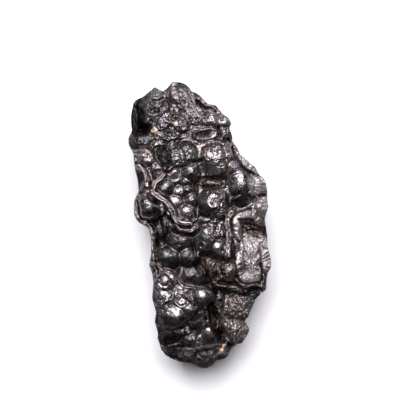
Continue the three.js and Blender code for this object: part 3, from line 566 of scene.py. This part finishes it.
def smooth_front(rim, y):
    """Height of the smooth body's front, and how squarely it faces up there (0 on the sides)."""
    inset = np.clip(-rim, LEAST_INSET, FRONT_ROUNDING)
    rounding = 2 * np.sqrt(FRONT_ROUNDING * inset) - FRONT_ROUNDING - inset
    height = spine_height(y) - RIM_DROP * np.exp(np.minimum(rim, 0) / RIM_REACH) + rounding
    slope = 1 - np.sqrt(FRONT_ROUNDING / inset)
    return height, smoothstep(*UPWARD_SHARE, 1 / np.sqrt(1 + slope * slope))


def terrace_level(x, y):
    """How far the terraces lie below the smooth front, as 0 or less."""
    level = np.zeros(x.shape)
    for drop, soft, edge in TERRACES:
        at = near(x, y, edge, soft)
        within = smoothstep(-soft / 2, soft / 2, -edge_distance(x[at], y[at], edge))
        level[at] -= drop * within
    return level


def kidney_height(x, y):
    """Height of the highest kidney at each point."""
    rise = np.full(x.shape, KIDNEY_FLOOR)
    for cx, cy, half_width, half_length, turn, tall in KIDNEYS:
        reach = 1 - oval(x, y, cx, cy, half_width, half_length, turn)
        cap = np.where(reach > 0, np.abs(reach) ** KIDNEY_FULLNESS, reach)
        rise = np.maximum(rise, KIDNEY_SCALE * tall * cap)
    return rise


def lay_facets(height, x, y, edge_x, edge_y):
    """Brings oval areas to sloping planes."""
    for cx, cy, half_width, half_length, turn, tall, fall_x, fall_y in FACETS:
        reach = oval(edge_x, edge_y, cx, cy, half_width, half_length, turn)
        flatness = 1 - smoothstep(*FACET_EDGE, reach)
        plane = tall - fall_x * (x - cx) + fall_y * (y - cy)
        height += flatness * (plane - height)


def lay_bands(height, masks, x, y):
    """Brings the ground along some lines to a low dome with a groove in it and a line of painted shade
    beside it.
    """
    dome, groove, groove_width = 0.25, 0.5, 0.25
    for tall, width, points in BANDS:
        at, off = along(x, y, points, width, width)
        cover = 1 - smoothstep(*BAND_EDGE, off)
        band = tall - dome * off ** 2 - groove * bell(off, 0, groove_width)
        height[at] += cover * (band - height[at])
        mark(masks["banded"], at, cover)
        mark(masks["trim"], at, bell(off, 0.55, 0.3))
        # Painted shade just outside the band's edge.
        mark(masks["groove_shade"], at, 0.8 * bell(off, 1.35, 0.25))


def lay_ribbons(height, masks, x, y):
    """Adds flat-topped ridges with a groove along them to whatever is beneath."""
    groove, groove_width = 0.55, 0.3
    for tall, width, points in RIBBONS:
        at, off = along(x, y, points, width, width)
        crest = np.clip(1 - off ** 4, 0, None) - groove * bell(off, 0, groove_width)
        height[at] += tall * crest
        mark(masks["banded"], at, smoothstep(-1.4, -0.9, -off))
        mark(masks["trim"], at, bell(off, 0.6, 0.3))


def cut_rings_and_pits(height, x, y):
    """Adds growth rings and small dents."""
    for cx, cy, radii, tall in RINGS:
        off = np.hypot(x - cx, y - cy)
        for radius in radii:
            height += tall * bell(off, radius, RING_WIDTH)
    for cx, cy, half_width, half_length, depth in PITS:
        reach = 1 - oval(x, y, cx, cy, half_width, half_length)
        height -= depth * np.clip(reach, 0, None) ** PIT_FULLNESS


def cut_cracks(height, masks, x, y):
    """Cuts rounded grooves, with painted shade in their middle and a crust along their lips."""
    for depth, width, points in CRACKS:
        at, off = along(x, y, points, width, 2 * width)
        height[at] -= depth * np.exp(-off * off * CRACK_SHARPNESS)
        mark(masks["trim"], at, 0.8 * bell(off, 1.8, 0.4))
        # Painted shade down the middle of the groove.
        mark(masks["groove_shade"], at, bell(off, 0, 1.0))


def add_small_relief(height, x, y, edge_x, edge_y, rough, still, fibres, banded):
    """Adds pebbles, creases, grit, a slow swell and fibres."""
    flat = np.zeros(x.shape)
    lively = np.clip(0.16 + 0.9 * rough - 0.5 * still - 0.5 * fibres, 0.03, 1.0)
    lively *= 1 - 0.8 * banded
    px = edge_x + PEBBLE_SHIFT * WARP_NOISE(x, y, flat + 20, 1.5)
    py = edge_y + PEBBLE_SHIFT * WARP_NOISE(x, y, flat + 70, 1.5)
    lumps = 0.85 * pebbles(px, py, 3.0, 5) + 0.3 * pebbles(px, py, 1.5, 6)
    height += lively * (lumps - PEBBLE_FOOT)
    creased = np.abs(GRAIN_NOISE.layered(x, y, flat, 2.4, 3))
    height -= CREASE_DEPTH * np.clip(lively + 0.1, 0, 1) * creased
    skin = np.clip(0.5 + rough - 0.45 * still, 0.1, 1.2)
    height += GRIT_HEIGHT * skin * GRAIN_NOISE.layered(edge_x, edge_y, flat + 3, 1.15, 3)
    height += SWELL_HEIGHT * GRAIN_NOISE.layered(x, y, flat + 9, 5.0, 2)
    height += fibres * fibre_relief(x, y)


def fibre_relief(x, y):
    """Fine ridges that spread from the nearer fibre root."""
    total = np.zeros(x.shape)
    nearest = np.full(x.shape, np.inf)
    for rx, ry in FIBRE_ROOTS:
        away = np.hypot(x - rx, y - ry)
        bearing = np.arctan2(y - ry, x - rx)
        flat = np.zeros(x.shape)
        ridges = (GRAIN_NOISE(bearing * 16, away * 0.25, flat, 1.0)
                  + 0.6 * GRAIN_NOISE(bearing * 37, away * 0.3, flat + 7, 1.0))
        closer = away < nearest
        total = np.where(closer, ridges, total)
        nearest = np.minimum(nearest, away)
    return FIBRE_HEIGHT * total


def front_relief(x, y):
    """The terraces' level, the relief's height over it, what the surface is made of there, and where
    shade is painted in grooves.

    The listed shapes are looked up at places that wander a little, so that they look grown."""
    flat = np.zeros(x.shape)
    fine = 0.4 * WANDER
    wx = x + WANDER * WARP_NOISE(x, y, flat, 3.1) + fine * WARP_NOISE(x, y, flat, 1.1)
    wy = y + WANDER * WARP_NOISE(x, y, flat + 50, 3.1) + fine * WARP_NOISE(x, y, flat + 50, 1.1)
    half_x, half_y = (x + wx) / 2, (y + wy) / 2
    masks = {name: np.zeros(x.shape) for name in ("trim", "groove_shade", "banded")}
    height = kidney_height(half_x, half_y)
    lay_facets(height, x, y, half_x, half_y)
    lay_bands(height, masks, wx, wy)
    lay_ribbons(height, masks, wx, wy)
    cut_rings_and_pits(height, wx, wy)
    cut_cracks(height, masks, wx, wy)
    rough = patches(wx, wy, ROUGH)
    still = patches(wx, wy, STILL)
    fibres = patches(wx, wy, FIBRES)
    add_small_relief(height, x, y, wx, wy, rough, still, fibres, masks["banded"])
    for cx, cy, radius, _tone in GRAINS:
        reach = 1 - oval(wx, wy, cx, cy, radius, radius)
        height += 0.5 * radius * np.sqrt(np.clip(reach, 0, None))
    kinds = {"rough": rough, "still": still, "fibre": fibres, "trim": masks["trim"],
             "groove_shade": masks["groove_shade"]}
    return terrace_level(wx, wy), height, kinds


# ---------------------------------------------------------------- working on meshes
def deselect_all():
    if bpy.context.object and bpy.context.object.mode != "OBJECT":
        bpy.ops.object.mode_set(mode="OBJECT")
    bpy.ops.object.select_all(action="DESELECT")


def make_active(piece):
    deselect_all()
    piece.select_set(True)
    bpy.context.view_layer.objects.active = piece


def apply_modifier(piece, kind, name, **values):
    make_active(piece)
    modifier = piece.modifiers.new(name, kind)
    for key, value in values.items():
        setattr(modifier, key, value)
    bpy.ops.object.modifier_apply(modifier=name)


def read_points(mesh):
    """The vertices' places, in millimetres."""
    points = np.empty(len(mesh.vertices) * 3)
    mesh.vertices.foreach_get("co", points)
    return points.reshape(-1, 3) / MM


def write_points(mesh, points):
    """Moves the vertices to places in millimetres."""
    mesh.vertices.foreach_set("co", (points * MM).astype(np.float32).ravel())
    mesh.update()


def read_normals(mesh):
    normals = np.empty(len(mesh.vertices) * 3)
    mesh.vertex_normals.foreach_get("vector", normals)
    return normals.reshape(-1, 3)


def averaged(mesh, values, rounds):
    """Values at the vertices, evened out along the edges."""
    edges = np.empty(len(mesh.edges) * 2, int)
    mesh.edges.foreach_get("vertices", edges)
    a, b = edges.reshape(-1, 2).T
    count = len(values)
    share = np.bincount(a, minlength=count) + np.bincount(b, minlength=count) + 1.0
    for _ in range(rounds):
        total = np.bincount(a, values[b], count) + np.bincount(b, values[a], count) + values
        values = total / share
    return values


def write_attribute(mesh, name, values):
    """Stores a value from 0 to 1 at each vertex, for the material to read."""
    attribute = mesh.attributes.new(name, "FLOAT", "POINT")
    attribute.data.foreach_set("value", np.clip(values, 0, 1).astype(np.float32))


# ---------------------------------------------------------------- the stone
def copy_of_solid():
    """A loose copy of the CAD solid, with its facets joined."""
    solid = bpy.data.objects[NODE]
    piece = solid.copy()
    piece.data = solid.data.copy()
    piece.name = piece.data.name = "hematite_stone"
    bpy.context.scene.collection.objects.link(piece)
    piece.data.materials.clear()
    make_active(piece)
    bpy.ops.object.mode_set(mode="EDIT")
    bpy.ops.mesh.select_all(action="SELECT")
    bpy.ops.mesh.remove_doubles(threshold=0.02 * MM)
    bpy.ops.object.mode_set(mode="OBJECT")
    return piece


def press_to_front(mesh, with_relief):
    """Brings the front's vertices to the smooth front, or to the growth surface over it."""
    points = read_points(mesh)
    x, y = points[:, 0], points[:, 1]
    facing = read_normals(mesh)[:, 2]
    at = np.flatnonzero((points[:, 2] > FRONT_FROM) & (facing > 0.05))
    rim = edge_distance(x[at], y[at], OUTLINE)
    level, share = smooth_front(rim, y[at])
    share = share * smoothstep(*FRONT_FACING, facing[at])
    held = smoothstep(0.0, 0.3, share)
    kinds = {}
    z = points[at, 2] + held * (level - points[at, 2])
    if with_relief:
        terrace, relief, kinds = front_relief(x[at], y[at])
        z = np.minimum(z, level + terrace) + share * relief
    points[at, 2] = z
    write_points(mesh, points)
    return at, share, kinds


def refine_front(piece):
    """Cuts each face of the front into nine."""
    make_active(piece)
    mesh = piece.data
    bpy.ops.object.mode_set(mode="EDIT")
    bpy.ops.mesh.select_mode(type="FACE")
    bpy.ops.mesh.select_all(action="DESELECT")
    bpy.ops.object.mode_set(mode="OBJECT")
    facing = np.empty(len(mesh.polygons) * 3)
    mesh.polygons.foreach_get("normal", facing)
    centre = np.empty(len(mesh.polygons) * 3)
    mesh.polygons.foreach_get("center", centre)
    front = (facing.reshape(-1, 3)[:, 2] > 0.25) & (centre.reshape(-1, 3)[:, 2] > 15 * MM)
    mesh.polygons.foreach_set("select", front)
    bpy.ops.object.mode_set(mode="EDIT")
    bpy.ops.mesh.subdivide(number_cuts=2, smoothness=0)
    bpy.ops.object.mode_set(mode="OBJECT")


def draw_to_outline(points, normals, side, below):
    """Slides the upper edge of the sides in or out to the outline, furthest where it is all side."""
    across = np.hypot(normals[:, 0], normals[:, 1])
    hold = 0.9 + 1.7 * side
    for _round in range(3):
        rim = edge_distance(points[:, 0], points[:, 1], OUTLINE)
        sharpen = smoothstep(0.6, 0.95, across) * np.exp(-(rim / hold) ** 2) * (1 - 0.8 * below)
        points[:, :2] -= normals[:, :2] * (rim * sharpen)[:, None]


def chip_sides(mesh, depth):
    """Breaks the sides and back into shallow fracture faces. The resting face stays flat."""
    points = read_points(mesh)
    normals = np.stack([averaged(mesh, axis, 8) for axis in read_normals(mesh).T], axis=1)
    normals /= np.linalg.norm(normals, axis=1)[:, None]
    x, y, z = points.T
    _level, share = smooth_front(edge_distance(x, y, OUTLINE), y)
    turned_up = share * smoothstep(*FRONT_FACING, normals[:, 2])
    side = np.where(z > FRONT_FROM, 1 - turned_up, 1.0)
    below = smoothstep(1.0, 10.0, spine_height(y) - RIM_DROP - z)
    draw_to_outline(points, normals, side, below)
    lifted = smoothstep(0.0, 1.5, z)
    hackle = (3.8 * np.abs(GRAIN_NOISE.layered(x, y, z, 13.0, 2))
              + 1.6 * np.abs(GRAIN_NOISE.layered(x + 30, y, z, 5.5, 2)))
    chips = np.abs(GRAIN_NOISE.layered(x + 60, y, z, 2.6, 2))
    columns = GRAIN_NOISE.layered(x, y + 30, z / COLUMN_STRETCH, 2.8, 2)
    inward = depth * (below * hackle + (0.3 + 0.7 * below) * (0.5 * chips + 0.45 * columns))
    points -= normals * (inward * side * lifted)[:, None]
    points[:, 2] = np.maximum(points[:, 2], 0)
    write_points(mesh, points)


def paint_kinds(mesh, at, share, kinds):
    """Writes what the surface is made of, and where shade and highlight are painted, point by point, for
    the material to read.
    """
    points = read_points(mesh)
    count = len(points)
    x, y, _z = points[at].T
    flat = np.zeros(x.shape)
    rx = x + RAGGEDNESS * WARP_NOISE(x, y, flat + 5, 2.2)
    ry = y + RAGGEDNESS * WARP_NOISE(x, y, flat + 8, 2.2)
    height = points[:, 2]
    hollow = averaged(mesh, height, 14) - height
    write_attribute(mesh, "crevice", smoothstep(0.02, 0.55, hollow))
    write_attribute(mesh, "crest", smoothstep(0.02, 0.45, -hollow))
    # The dull black patches, with the shade painted along grooves, hold painted shade as well as the
    # ore's own black; the lighter polished ore holds painted highlight.
    painted = {"rough": kinds["rough"], "still": kinds["still"], "fibre": kinds["fibre"],
               "trim": kinds["trim"], "ochre": patches(rx, ry, OCHRE),
               "dull_black_and_shade": np.maximum(patches(rx, ry, DULL_BLACK_AND_SHADE), kinds["groove_shade"]),
               "moss": patches(rx, ry, MOSS), "polish_and_highlight": patches(rx, ry, POLISH_AND_HIGHLIGHT)}
    for name, values in painted.items():
        whole = np.zeros(count)
        whole[at] = values * share
        write_attribute(mesh, name, whole)
    grain, tone = np.zeros(count), np.zeros(count)
    for cx, cy, radius, orange in GRAINS:
        reach = np.sqrt(oval(rx, ry, cx, cy, radius, radius) * 0.5
                        + oval(x, y, cx, cy, radius, radius) * 0.5)
        spot = 1 - smoothstep(0.75, 1.15, reach)
        mark(grain, at, spot)
        tone[at] = np.where(spot > 0, orange, tone[at])
    write_attribute(mesh, "grain", grain)
    write_attribute(mesh, "tone", tone)
    sides = np.ones(count)
    sides[at] = 1 - share
    write_attribute(mesh, "broken", sides)


# ---------------------------------------------------------------- materials
class Shader:
    """Short ways to add nodes to one material."""

    def __init__(self, name):
        self.material = bpy.data.materials.new(name)
        self.material.use_nodes = True
        self.nodes = self.material.node_tree.nodes
        self.links = self.material.node_tree.links
        self.bsdf = self.nodes["Principled BSDF"]

    def add(self, kind, **values):
        node = self.nodes.new(kind)
        for key, value in values.items():
            setattr(node, key, value)
        return node

    def put(self, value, socket):
        """Links a node's output to a socket, or sets the socket to a plain value."""
        if hasattr(value, "is_output"):
            self.links.new(value, socket)
        else:
            socket.default_value = value

    def attribute(self, name):
        return self.add("ShaderNodeAttribute", attribute_name=name).outputs["Fac"]

    def position(self):
        return self.add("ShaderNodeTexCoord").outputs["Object"]

    def noise(self, size_mm, detail=2.0, rough=0.5, distortion=0.0, place=None):
        node = self.add("ShaderNodeTexNoise")
        self.links.new(place or self.position(), node.inputs["Vector"])
        node.inputs["Scale"].default_value = 1 / (size_mm * MM)
        node.inputs["Detail"].default_value = detail
        node.inputs["Roughness"].default_value = rough
        node.inputs["Distortion"].default_value = distortion
        return node.outputs["Fac"]

    def patchy(self, low, high, size_mm, detail=4.0, rough=0.6):
        """0 and 1 in irregular patches, soft where the noise lies between low and high."""
        return self.fit(self.noise(size_mm, detail, rough), low, high)

    def streaks(self, size_mm, stretch):
        """Noise drawn out upwards."""
        squash = self.add("ShaderNodeVectorMath", operation="MULTIPLY")
        self.links.new(self.position(), squash.inputs[0])
        squash.inputs[1].default_value = (1, 1, 1 / stretch)
        return self.noise(size_mm, 4.0, place=squash.outputs["Vector"])

    def cell_edges(self, size_mm):
        """Distance to the edges of a net of bent cells."""
        bend = self.add("ShaderNodeTexNoise")
        self.links.new(self.position(), bend.inputs["Vector"])
        bend.inputs["Scale"].default_value = 1 / (0.8 * size_mm * MM)
        shift = self.add("ShaderNodeVectorMath", operation="SCALE")
        self.links.new(bend.outputs["Color"], shift.inputs[0])
        shift.inputs["Scale"].default_value = size_mm * MM
        moved = self.add("ShaderNodeVectorMath", operation="ADD")
        self.links.new(self.position(), moved.inputs[0])
        self.links.new(shift.outputs["Vector"], moved.inputs[1])
        node = self.add("ShaderNodeTexVoronoi", feature="DISTANCE_TO_EDGE")
        self.links.new(moved.outputs["Vector"], node.inputs["Vector"])
        node.inputs["Scale"].default_value = 1 / (size_mm * MM)
        return node.outputs["Distance"]

    def math(self, operation, a, b=0.0, clamp=False):
        node = self.add("ShaderNodeMath", operation=operation, use_clamp=clamp)
        self.put(a, node.inputs[0])
        self.put(b, node.inputs[1])
        return node.outputs[0]

    def times(self, a, b):
        return self.math("MULTIPLY", a, b)

    def larger(self, a, b):
        return self.math("MAXIMUM", a, b)

    def fit(self, value, low, high, out_low=0.0, out_high=1.0):
        """Out_low where the value is low, out_high where it is high."""
        node = self.add("ShaderNodeMapRange")
        self.put(value, node.inputs["Value"])
        node.inputs["From Min"].default_value = low
        node.inputs["From Max"].default_value = high
        node.inputs["To Min"].default_value = out_low
        node.inputs["To Max"].default_value = out_high
        return node.outputs["Result"]

    def mix(self, share, a, b):
        """Colour a turning to colour b. Each is a node's output or three plain numbers."""
        node = self.add("ShaderNodeMix", data_type="RGBA")
        self.put(share, node.inputs[0])
        for value, socket in ((a, node.inputs[6]), (b, node.inputs[7])):
            self.put(value if hasattr(value, "is_output") else (*value, 1.0), socket)
        return node.outputs[2]

    def bump(self, height, distance_mm, strength, normal=None):
        node = self.add("ShaderNodeBump")
        self.put(height, node.inputs["Height"])
        self.put(strength, node.inputs["Strength"])
        node.inputs["Distance"].default_value = distance_mm * MM
        if normal:
            self.links.new(normal, node.inputs["Normal"])
        return node.outputs["Normal"]


def metal_colour(m, settings, masks, crackle, dull_black_and_shade):
    """Clouded grey metal, lighter on crests, lighter still under the painted highlights on polished ore,
    black in fine cracks, and black under the painted shade and dull black patches.
    """
    metal = m.mix(m.patchy(0.35, 0.65, 7.0, 3.0, 0.5), settings.metal_dark, settings.metal_light)
    metal = m.mix(m.times(masks["crest"], 0.6), metal, settings.metal_crest)
    # Painted highlight, partly polish: lighter ore where the key light falls.
    metal = m.mix(m.times(masks["polish_and_highlight"], 0.75), metal, settings.polish_and_highlight)
    speck = m.patchy(0.45, 0.7, 0.8, rough=0.65)
    metal = m.mix(m.times(speck, 0.35), metal, settings.metal_dark)
    metal = m.mix(m.times(m.patchy(0.47, 0.68, 4.0), 0.7), metal, settings.metal_brown)
    metal = m.mix(m.times(crackle, 0.9), metal, settings.dull_black_and_shade)
    metal = m.mix(m.times(masks["fibre"], 0.8), metal, settings.satin)
    # Painted shade, partly the ore's own dull black.
    return m.mix(dull_black_and_shade, metal, settings.dull_black_and_shade)


def rock_colour(m, settings, splinters):
    """Dull splintery rock with rusty patches."""
    rock = m.mix(m.fit(splinters, 0.4, 0.62), settings.fracture, settings.fracture_light)
    rust = m.times(m.patchy(0.5, 0.62, 9.0), m.patchy(0.4, 0.6, 1.6))
    return m.mix(m.times(rust, 0.7), rock, settings.ochre_dark)


def stone_material(settings):
    m = Shader("hematite")
    masks = {name: m.attribute(name) for name in PAINTED}
    crackle = m.times(m.fit(m.cell_edges(2.3), 0.03, 0.15, 1.0, 0.0), m.patchy(0.40, 0.55, 3.0, 2.0, 0.5))
    splinters = m.streaks(1.5, 6.0)
    dust = m.times(masks["crevice"], m.patchy(0.42, 0.62, 2.4))
    stain = m.times(masks["ochre"], m.patchy(0.36, 0.6, 1.3))
    ochre = m.larger(m.times(dust, 0.4), m.times(stain, 0.6))
    trim = m.times(masks["trim"], m.patchy(0.36, 0.52, 1.8))
    moss = m.times(masks["moss"], m.patchy(0.3, 0.6, 3.0, 3.0, 0.5))
    # Painted shade in the hollows, lighter where the painted highlight lies, joined to the dull black
    # patches.
    shade = m.times(masks["crevice"], m.fit(masks["polish_and_highlight"], 0.0, 1.0, 0.75, 0.4))
    dull_black_and_shade = m.larger(masks["dull_black_and_shade"], shade)
    fibre, broken, grain = masks["fibre"], masks["broken"], masks["grain"]

    earth = m.mix(m.patchy(0.4, 0.6, 0.9, rough=0.5), settings.ochre_dark, settings.ochre_light)
    orange = m.times(masks["tone"], m.patchy(0.35, 0.6, 0.5, 2.0, 0.5))
    colour = m.mix(ochre, metal_colour(m, settings, masks, crackle, dull_black_and_shade), earth)
    colour = m.mix(m.times(moss, 0.7), colour, settings.moss)
    colour = m.mix(m.times(trim, 0.55), colour, settings.trim)
    colour = m.mix(m.times(broken, 0.9), colour, rock_colour(m, settings, splinters))
    colour = m.mix(grain, colour, m.mix(orange, settings.grain_cream, settings.grain_orange))
    m.put(colour, m.bsdf.inputs["Base Color"])

    dull = m.larger(m.larger(ochre, grain), m.times(trim, 0.45))
    metallic = m.fit(dull, 0.0, 1.0, 0.94, 0.05)
    metallic = m.math("SUBTRACT", metallic, m.times(moss, 0.3), clamp=True)
    metallic = m.math("SUBTRACT", metallic, m.times(fibre, 0.35), clamp=True)
    m.put(metallic, m.bsdf.inputs["Metallic"])

    gloss = m.fit(m.noise(1.6, 3.0), 0.3, 0.7, settings.gloss, settings.gloss + 0.1)
    for mask, added in ((dull, 0.35), (dull_black_and_shade, 0.12), (fibre, 0.12)):
        gloss = m.math("ADD", gloss, m.times(mask, added))
    gloss = m.math("ADD", gloss, m.times(broken, 0.16), clamp=True)
    m.put(gloss, m.bsdf.inputs["Roughness"])
    m.bsdf.inputs["Specular Tint"].default_value = (0.45, 0.44, 0.46, 1.0)
    m.bsdf.inputs["Coat Weight"].default_value = 0.08
    m.bsdf.inputs["Coat Roughness"].default_value = 0.17
    m.bsdf.inputs["Coat IOR"].default_value = 1.6

    lively = m.fit(masks["rough"], 0.0, 0.8, 0.5, 1.1)
    lively = m.math("SUBTRACT", lively, m.times(masks["still"], 0.45), clamp=True)
    wrinkles = m.math("SUBTRACT", m.noise(1.3, 1.0, 0.5, 0.8), m.times(crackle, 0.25))
    crinkle = m.bump(wrinkles, 0.75, m.times(lively, 0.8))
    grit = m.bump(m.noise(0.7, 1.0), 0.12, m.times(lively, 0.4), crinkle)
    hackly = m.math("ADD", splinters, m.times(m.noise(2.6, 4.0, 0.6), 1.3))
    m.put(m.bump(hackly, 1.2, m.times(broken, 0.9), grit), m.bsdf.inputs["Normal"])
    return m.material


def floor_material(settings):
    m = Shader("studio_paper")
    fleck = tuple(0.985 * c for c in settings.paper)
    m.put(m.mix(m.patchy(0.4, 0.6, 25.0, 2.0, 0.5), settings.paper, fleck), m.bsdf.inputs["Base Color"])
    m.bsdf.inputs["Roughness"].default_value = 0.9
    m.bsdf.inputs["Specular IOR Level"].default_value = 0.1
    return m.material


# ---------------------------------------------------------------- settings
def colour(name, description, default):
    return FloatVectorProperty(name=name, description=description, default=default,
                               subtype="COLOR", size=3, min=0, max=1)


class StoneSettings(bpy.types.PropertyGroup):
    """Sizes and colours of the stone"""
    voxel: FloatProperty(
        name="Voxel", description="Size of the remeshed stone's faces, cut in three on the front",
        default=0.90 * MM, min=0.3 * MM, unit="LENGTH")
    chip_depth: FloatProperty(
        name="Chip depth", description="How deeply the sides and back are broken",
        default=1.1 * MM, min=0, unit="LENGTH")
    gloss: FloatProperty(
        name="Gloss", description="Roughness of the polished kidneys", default=0.24,
        min=0, max=1, subtype="FACTOR")
    metal_dark: colour("Dark metal", "The darker grey of the ore", (0.070, 0.065, 0.068))
    metal_light: colour("Light metal", "The lighter grey of the ore", (0.140, 0.130, 0.136))
    metal_brown: colour("Brown metal", "The ore where it is tarnished brown", (0.120, 0.090, 0.080))
    metal_crest: colour("Crests", "The ore where its crests are polished", (0.15, 0.14, 0.146))
    # Lighter polished ore, also used as a painted highlight.
    polish_and_highlight: colour("Silver", "The brightest polished ore", (0.215, 0.20, 0.209))
    # Dull black, also used as painted shade in furrows, hollows and grooves.
    dull_black_and_shade: colour("Black film", "The dull black of deep furrows and hollows", (0.0045, 0.004, 0.004))
    satin: colour("Satin", "The silky grey of the broken fibres", (0.31, 0.288, 0.290))
    ochre_dark: colour("Dark ochre", "Iron ochre in the creases", (0.055, 0.034, 0.024))
    ochre_light: colour("Light ochre", "Iron ochre where it is thick", (0.20, 0.115, 0.062))
    fracture: colour("Fracture", "The dull dark grey of the broken sides", (0.030, 0.027, 0.027))
    fracture_light: colour("Light fracture", "The steel grey of splintered edges", (0.11, 0.103, 0.104))
    moss: colour("Green film", "The green-grey film on smooth faces", (0.026, 0.031, 0.024))
    trim: colour("Trim", "The pinkish crust along ribbons and cracks", (0.34, 0.27, 0.255))
    grain_cream: colour("Cream grains", "The palest grains", (0.40, 0.31, 0.24))
    grain_orange: colour("Orange grains", "The rusty grains", (0.42, 0.17, 0.055))


class StageSettings(bpy.types.PropertyGroup):
    """The studio round the stone"""
    view_width: FloatProperty(
        name="View width", description="Width of the view at the aim height",
        default=174.7 * MM, unit="LENGTH")
    lens: FloatProperty(name="Lens", description="Focal length of the camera, in millimetres",
                        default=300.0, min=20)
    roll: FloatProperty(name="Roll", description="Turn of the camera about its line of sight",
                        default=math.radians(-8.0), subtype="ANGLE")
    aim_height: FloatProperty(name="Aim height", description="Height that the view width is taken at",
                              default=18 * MM, unit="LENGTH")
    paper: colour("Paper", "The floor", (0.60, 0.60, 0.60))
    key_power: FloatProperty(name="Key light", description="Power of the key light, in watts",
                             default=66.0, min=0)
    fill_power: FloatProperty(name="Fill light", description="Power of each fill light, in watts",
                              default=1.4, min=0)
    room: FloatProperty(name="Room", description="Brightness of the room round the stage",
                        default=0.02, min=0)


# ---------------------------------------------------------------- operators
class OBJECT_OT_kidney_ore_stone(bpy.types.Operator):
    """Sculpt the stone from a copy of its CAD solid"""
    bl_idname = "object.kidney_ore_stone"
    bl_label = "Stone"

    def execute(self, context):
        settings = context.scene.kidney_ore_stone
        piece = copy_of_solid()
        press_to_front(piece.data, with_relief=False)
        apply_modifier(piece, "REMESH", "even_faces", mode="VOXEL", voxel_size=settings.voxel)
        refine_front(piece)
        at, share, kinds = press_to_front(piece.data, with_relief=True)
        chip_sides(piece.data, settings.chip_depth / MM)
        paint_kinds(piece.data, at, share, kinds)
        piece.data.materials.append(stone_material(settings))
        make_active(piece)
        bpy.ops.object.shade_smooth()
        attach(piece, "root")
        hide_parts(NODE)
        return {"FINISHED"}


class OBJECT_OT_kidney_ore_stage(bpy.types.Operator):
    """Set up the floor, the lights and the camera"""
    bl_idname = "object.kidney_ore_stage"
    bl_label = "Stage"

    def execute(self, context):
        settings = context.scene.kidney_ore_stage
        deselect_all()
        bpy.ops.mesh.primitive_plane_add(size=6, location=(0, 0, 0))
        floor = context.object
        floor.name = floor.data.name = "floor"
        floor.data.materials.append(floor_material(settings))
        add_light("key", settings.key_power, *KEY_LIGHT)
        add_light("left_fill", settings.fill_power, *LEFT_FILL)
        add_light("right_fill", settings.fill_power, *RIGHT_FILL)
        world = bpy.data.worlds.new("room")
        world.use_nodes = True
        backdrop = world.node_tree.nodes["Background"]
        backdrop.inputs["Color"].default_value = (1, 1, 1, 1)
        backdrop.inputs["Strength"].default_value = settings.room
        context.scene.world = world
        context.scene.view_settings.view_transform = "Standard"
        add_camera(settings)
        return {"FINISHED"}


def add_light(name, power, place, size):
    """Adds a square lamp that faces the middle of the floor."""
    deselect_all()
    bpy.ops.object.light_add(type="AREA", location=place)
    light = bpy.context.object
    light.name = light.data.name = name
    light.data.energy = power
    light.data.size = size
    light.data.color = LAMP_COLOUR
    reach = math.hypot(place[0], place[1])
    light.rotation_euler = (math.atan2(reach, place[2]), 0, math.atan2(place[1], place[0]) + math.pi / 2)


def add_camera(settings):
    """Adds the camera straight above the stone, looking down."""
    deselect_all()
    away = settings.lens / SENSOR * settings.view_width
    bpy.ops.object.camera_add(location=(AIM[0] * MM, AIM[1] * MM, settings.aim_height + away),
                              rotation=(0, 0, settings.roll))
    camera = bpy.context.object
    camera.name = camera.data.name = "camera"
    camera.data.lens = settings.lens
    camera.data.sensor_width = SENSOR
    camera.data.clip_end = 20.0
    bpy.context.scene.camera = camera


class VIEW3D_PT_kidney_ore(bpy.types.Panel):
    """Buttons and settings for the specimen"""
    bl_label = "Kidney ore"
    bl_space_type = "VIEW_3D"
    bl_region_type = "UI"
    bl_category = "Kidney ore"

    def draw(self, context):
        layout = self.layout
        for group, operator in (("kidney_ore_stone", "object.kidney_ore_stone"),
                                ("kidney_ore_stage", "object.kidney_ore_stage")):
            settings = getattr(context.scene, group)
            box = layout.box()
            box.operator(operator)
            for name in settings.__annotations__:
                box.prop(settings, name)


CLASSES = (StoneSettings, StageSettings, OBJECT_OT_kidney_ore_stone, OBJECT_OT_kidney_ore_stage,
           VIEW3D_PT_kidney_ore)


def register():
    for each in CLASSES:
        bpy.utils.register_class(each)
    bpy.types.Scene.kidney_ore_stone = PointerProperty(type=StoneSettings)
    bpy.types.Scene.kidney_ore_stage = PointerProperty(type=StageSettings)


def unregister():
    del bpy.types.Scene.kidney_ore_stage
    del bpy.types.Scene.kidney_ore_stone
    for each in reversed(CLASSES):
        bpy.utils.unregister_class(each)


def main():
    register()
    bpy.ops.object.kidney_ore_stone()
    bpy.ops.object.kidney_ore_stage()


if __name__ == "__main__":
    main()
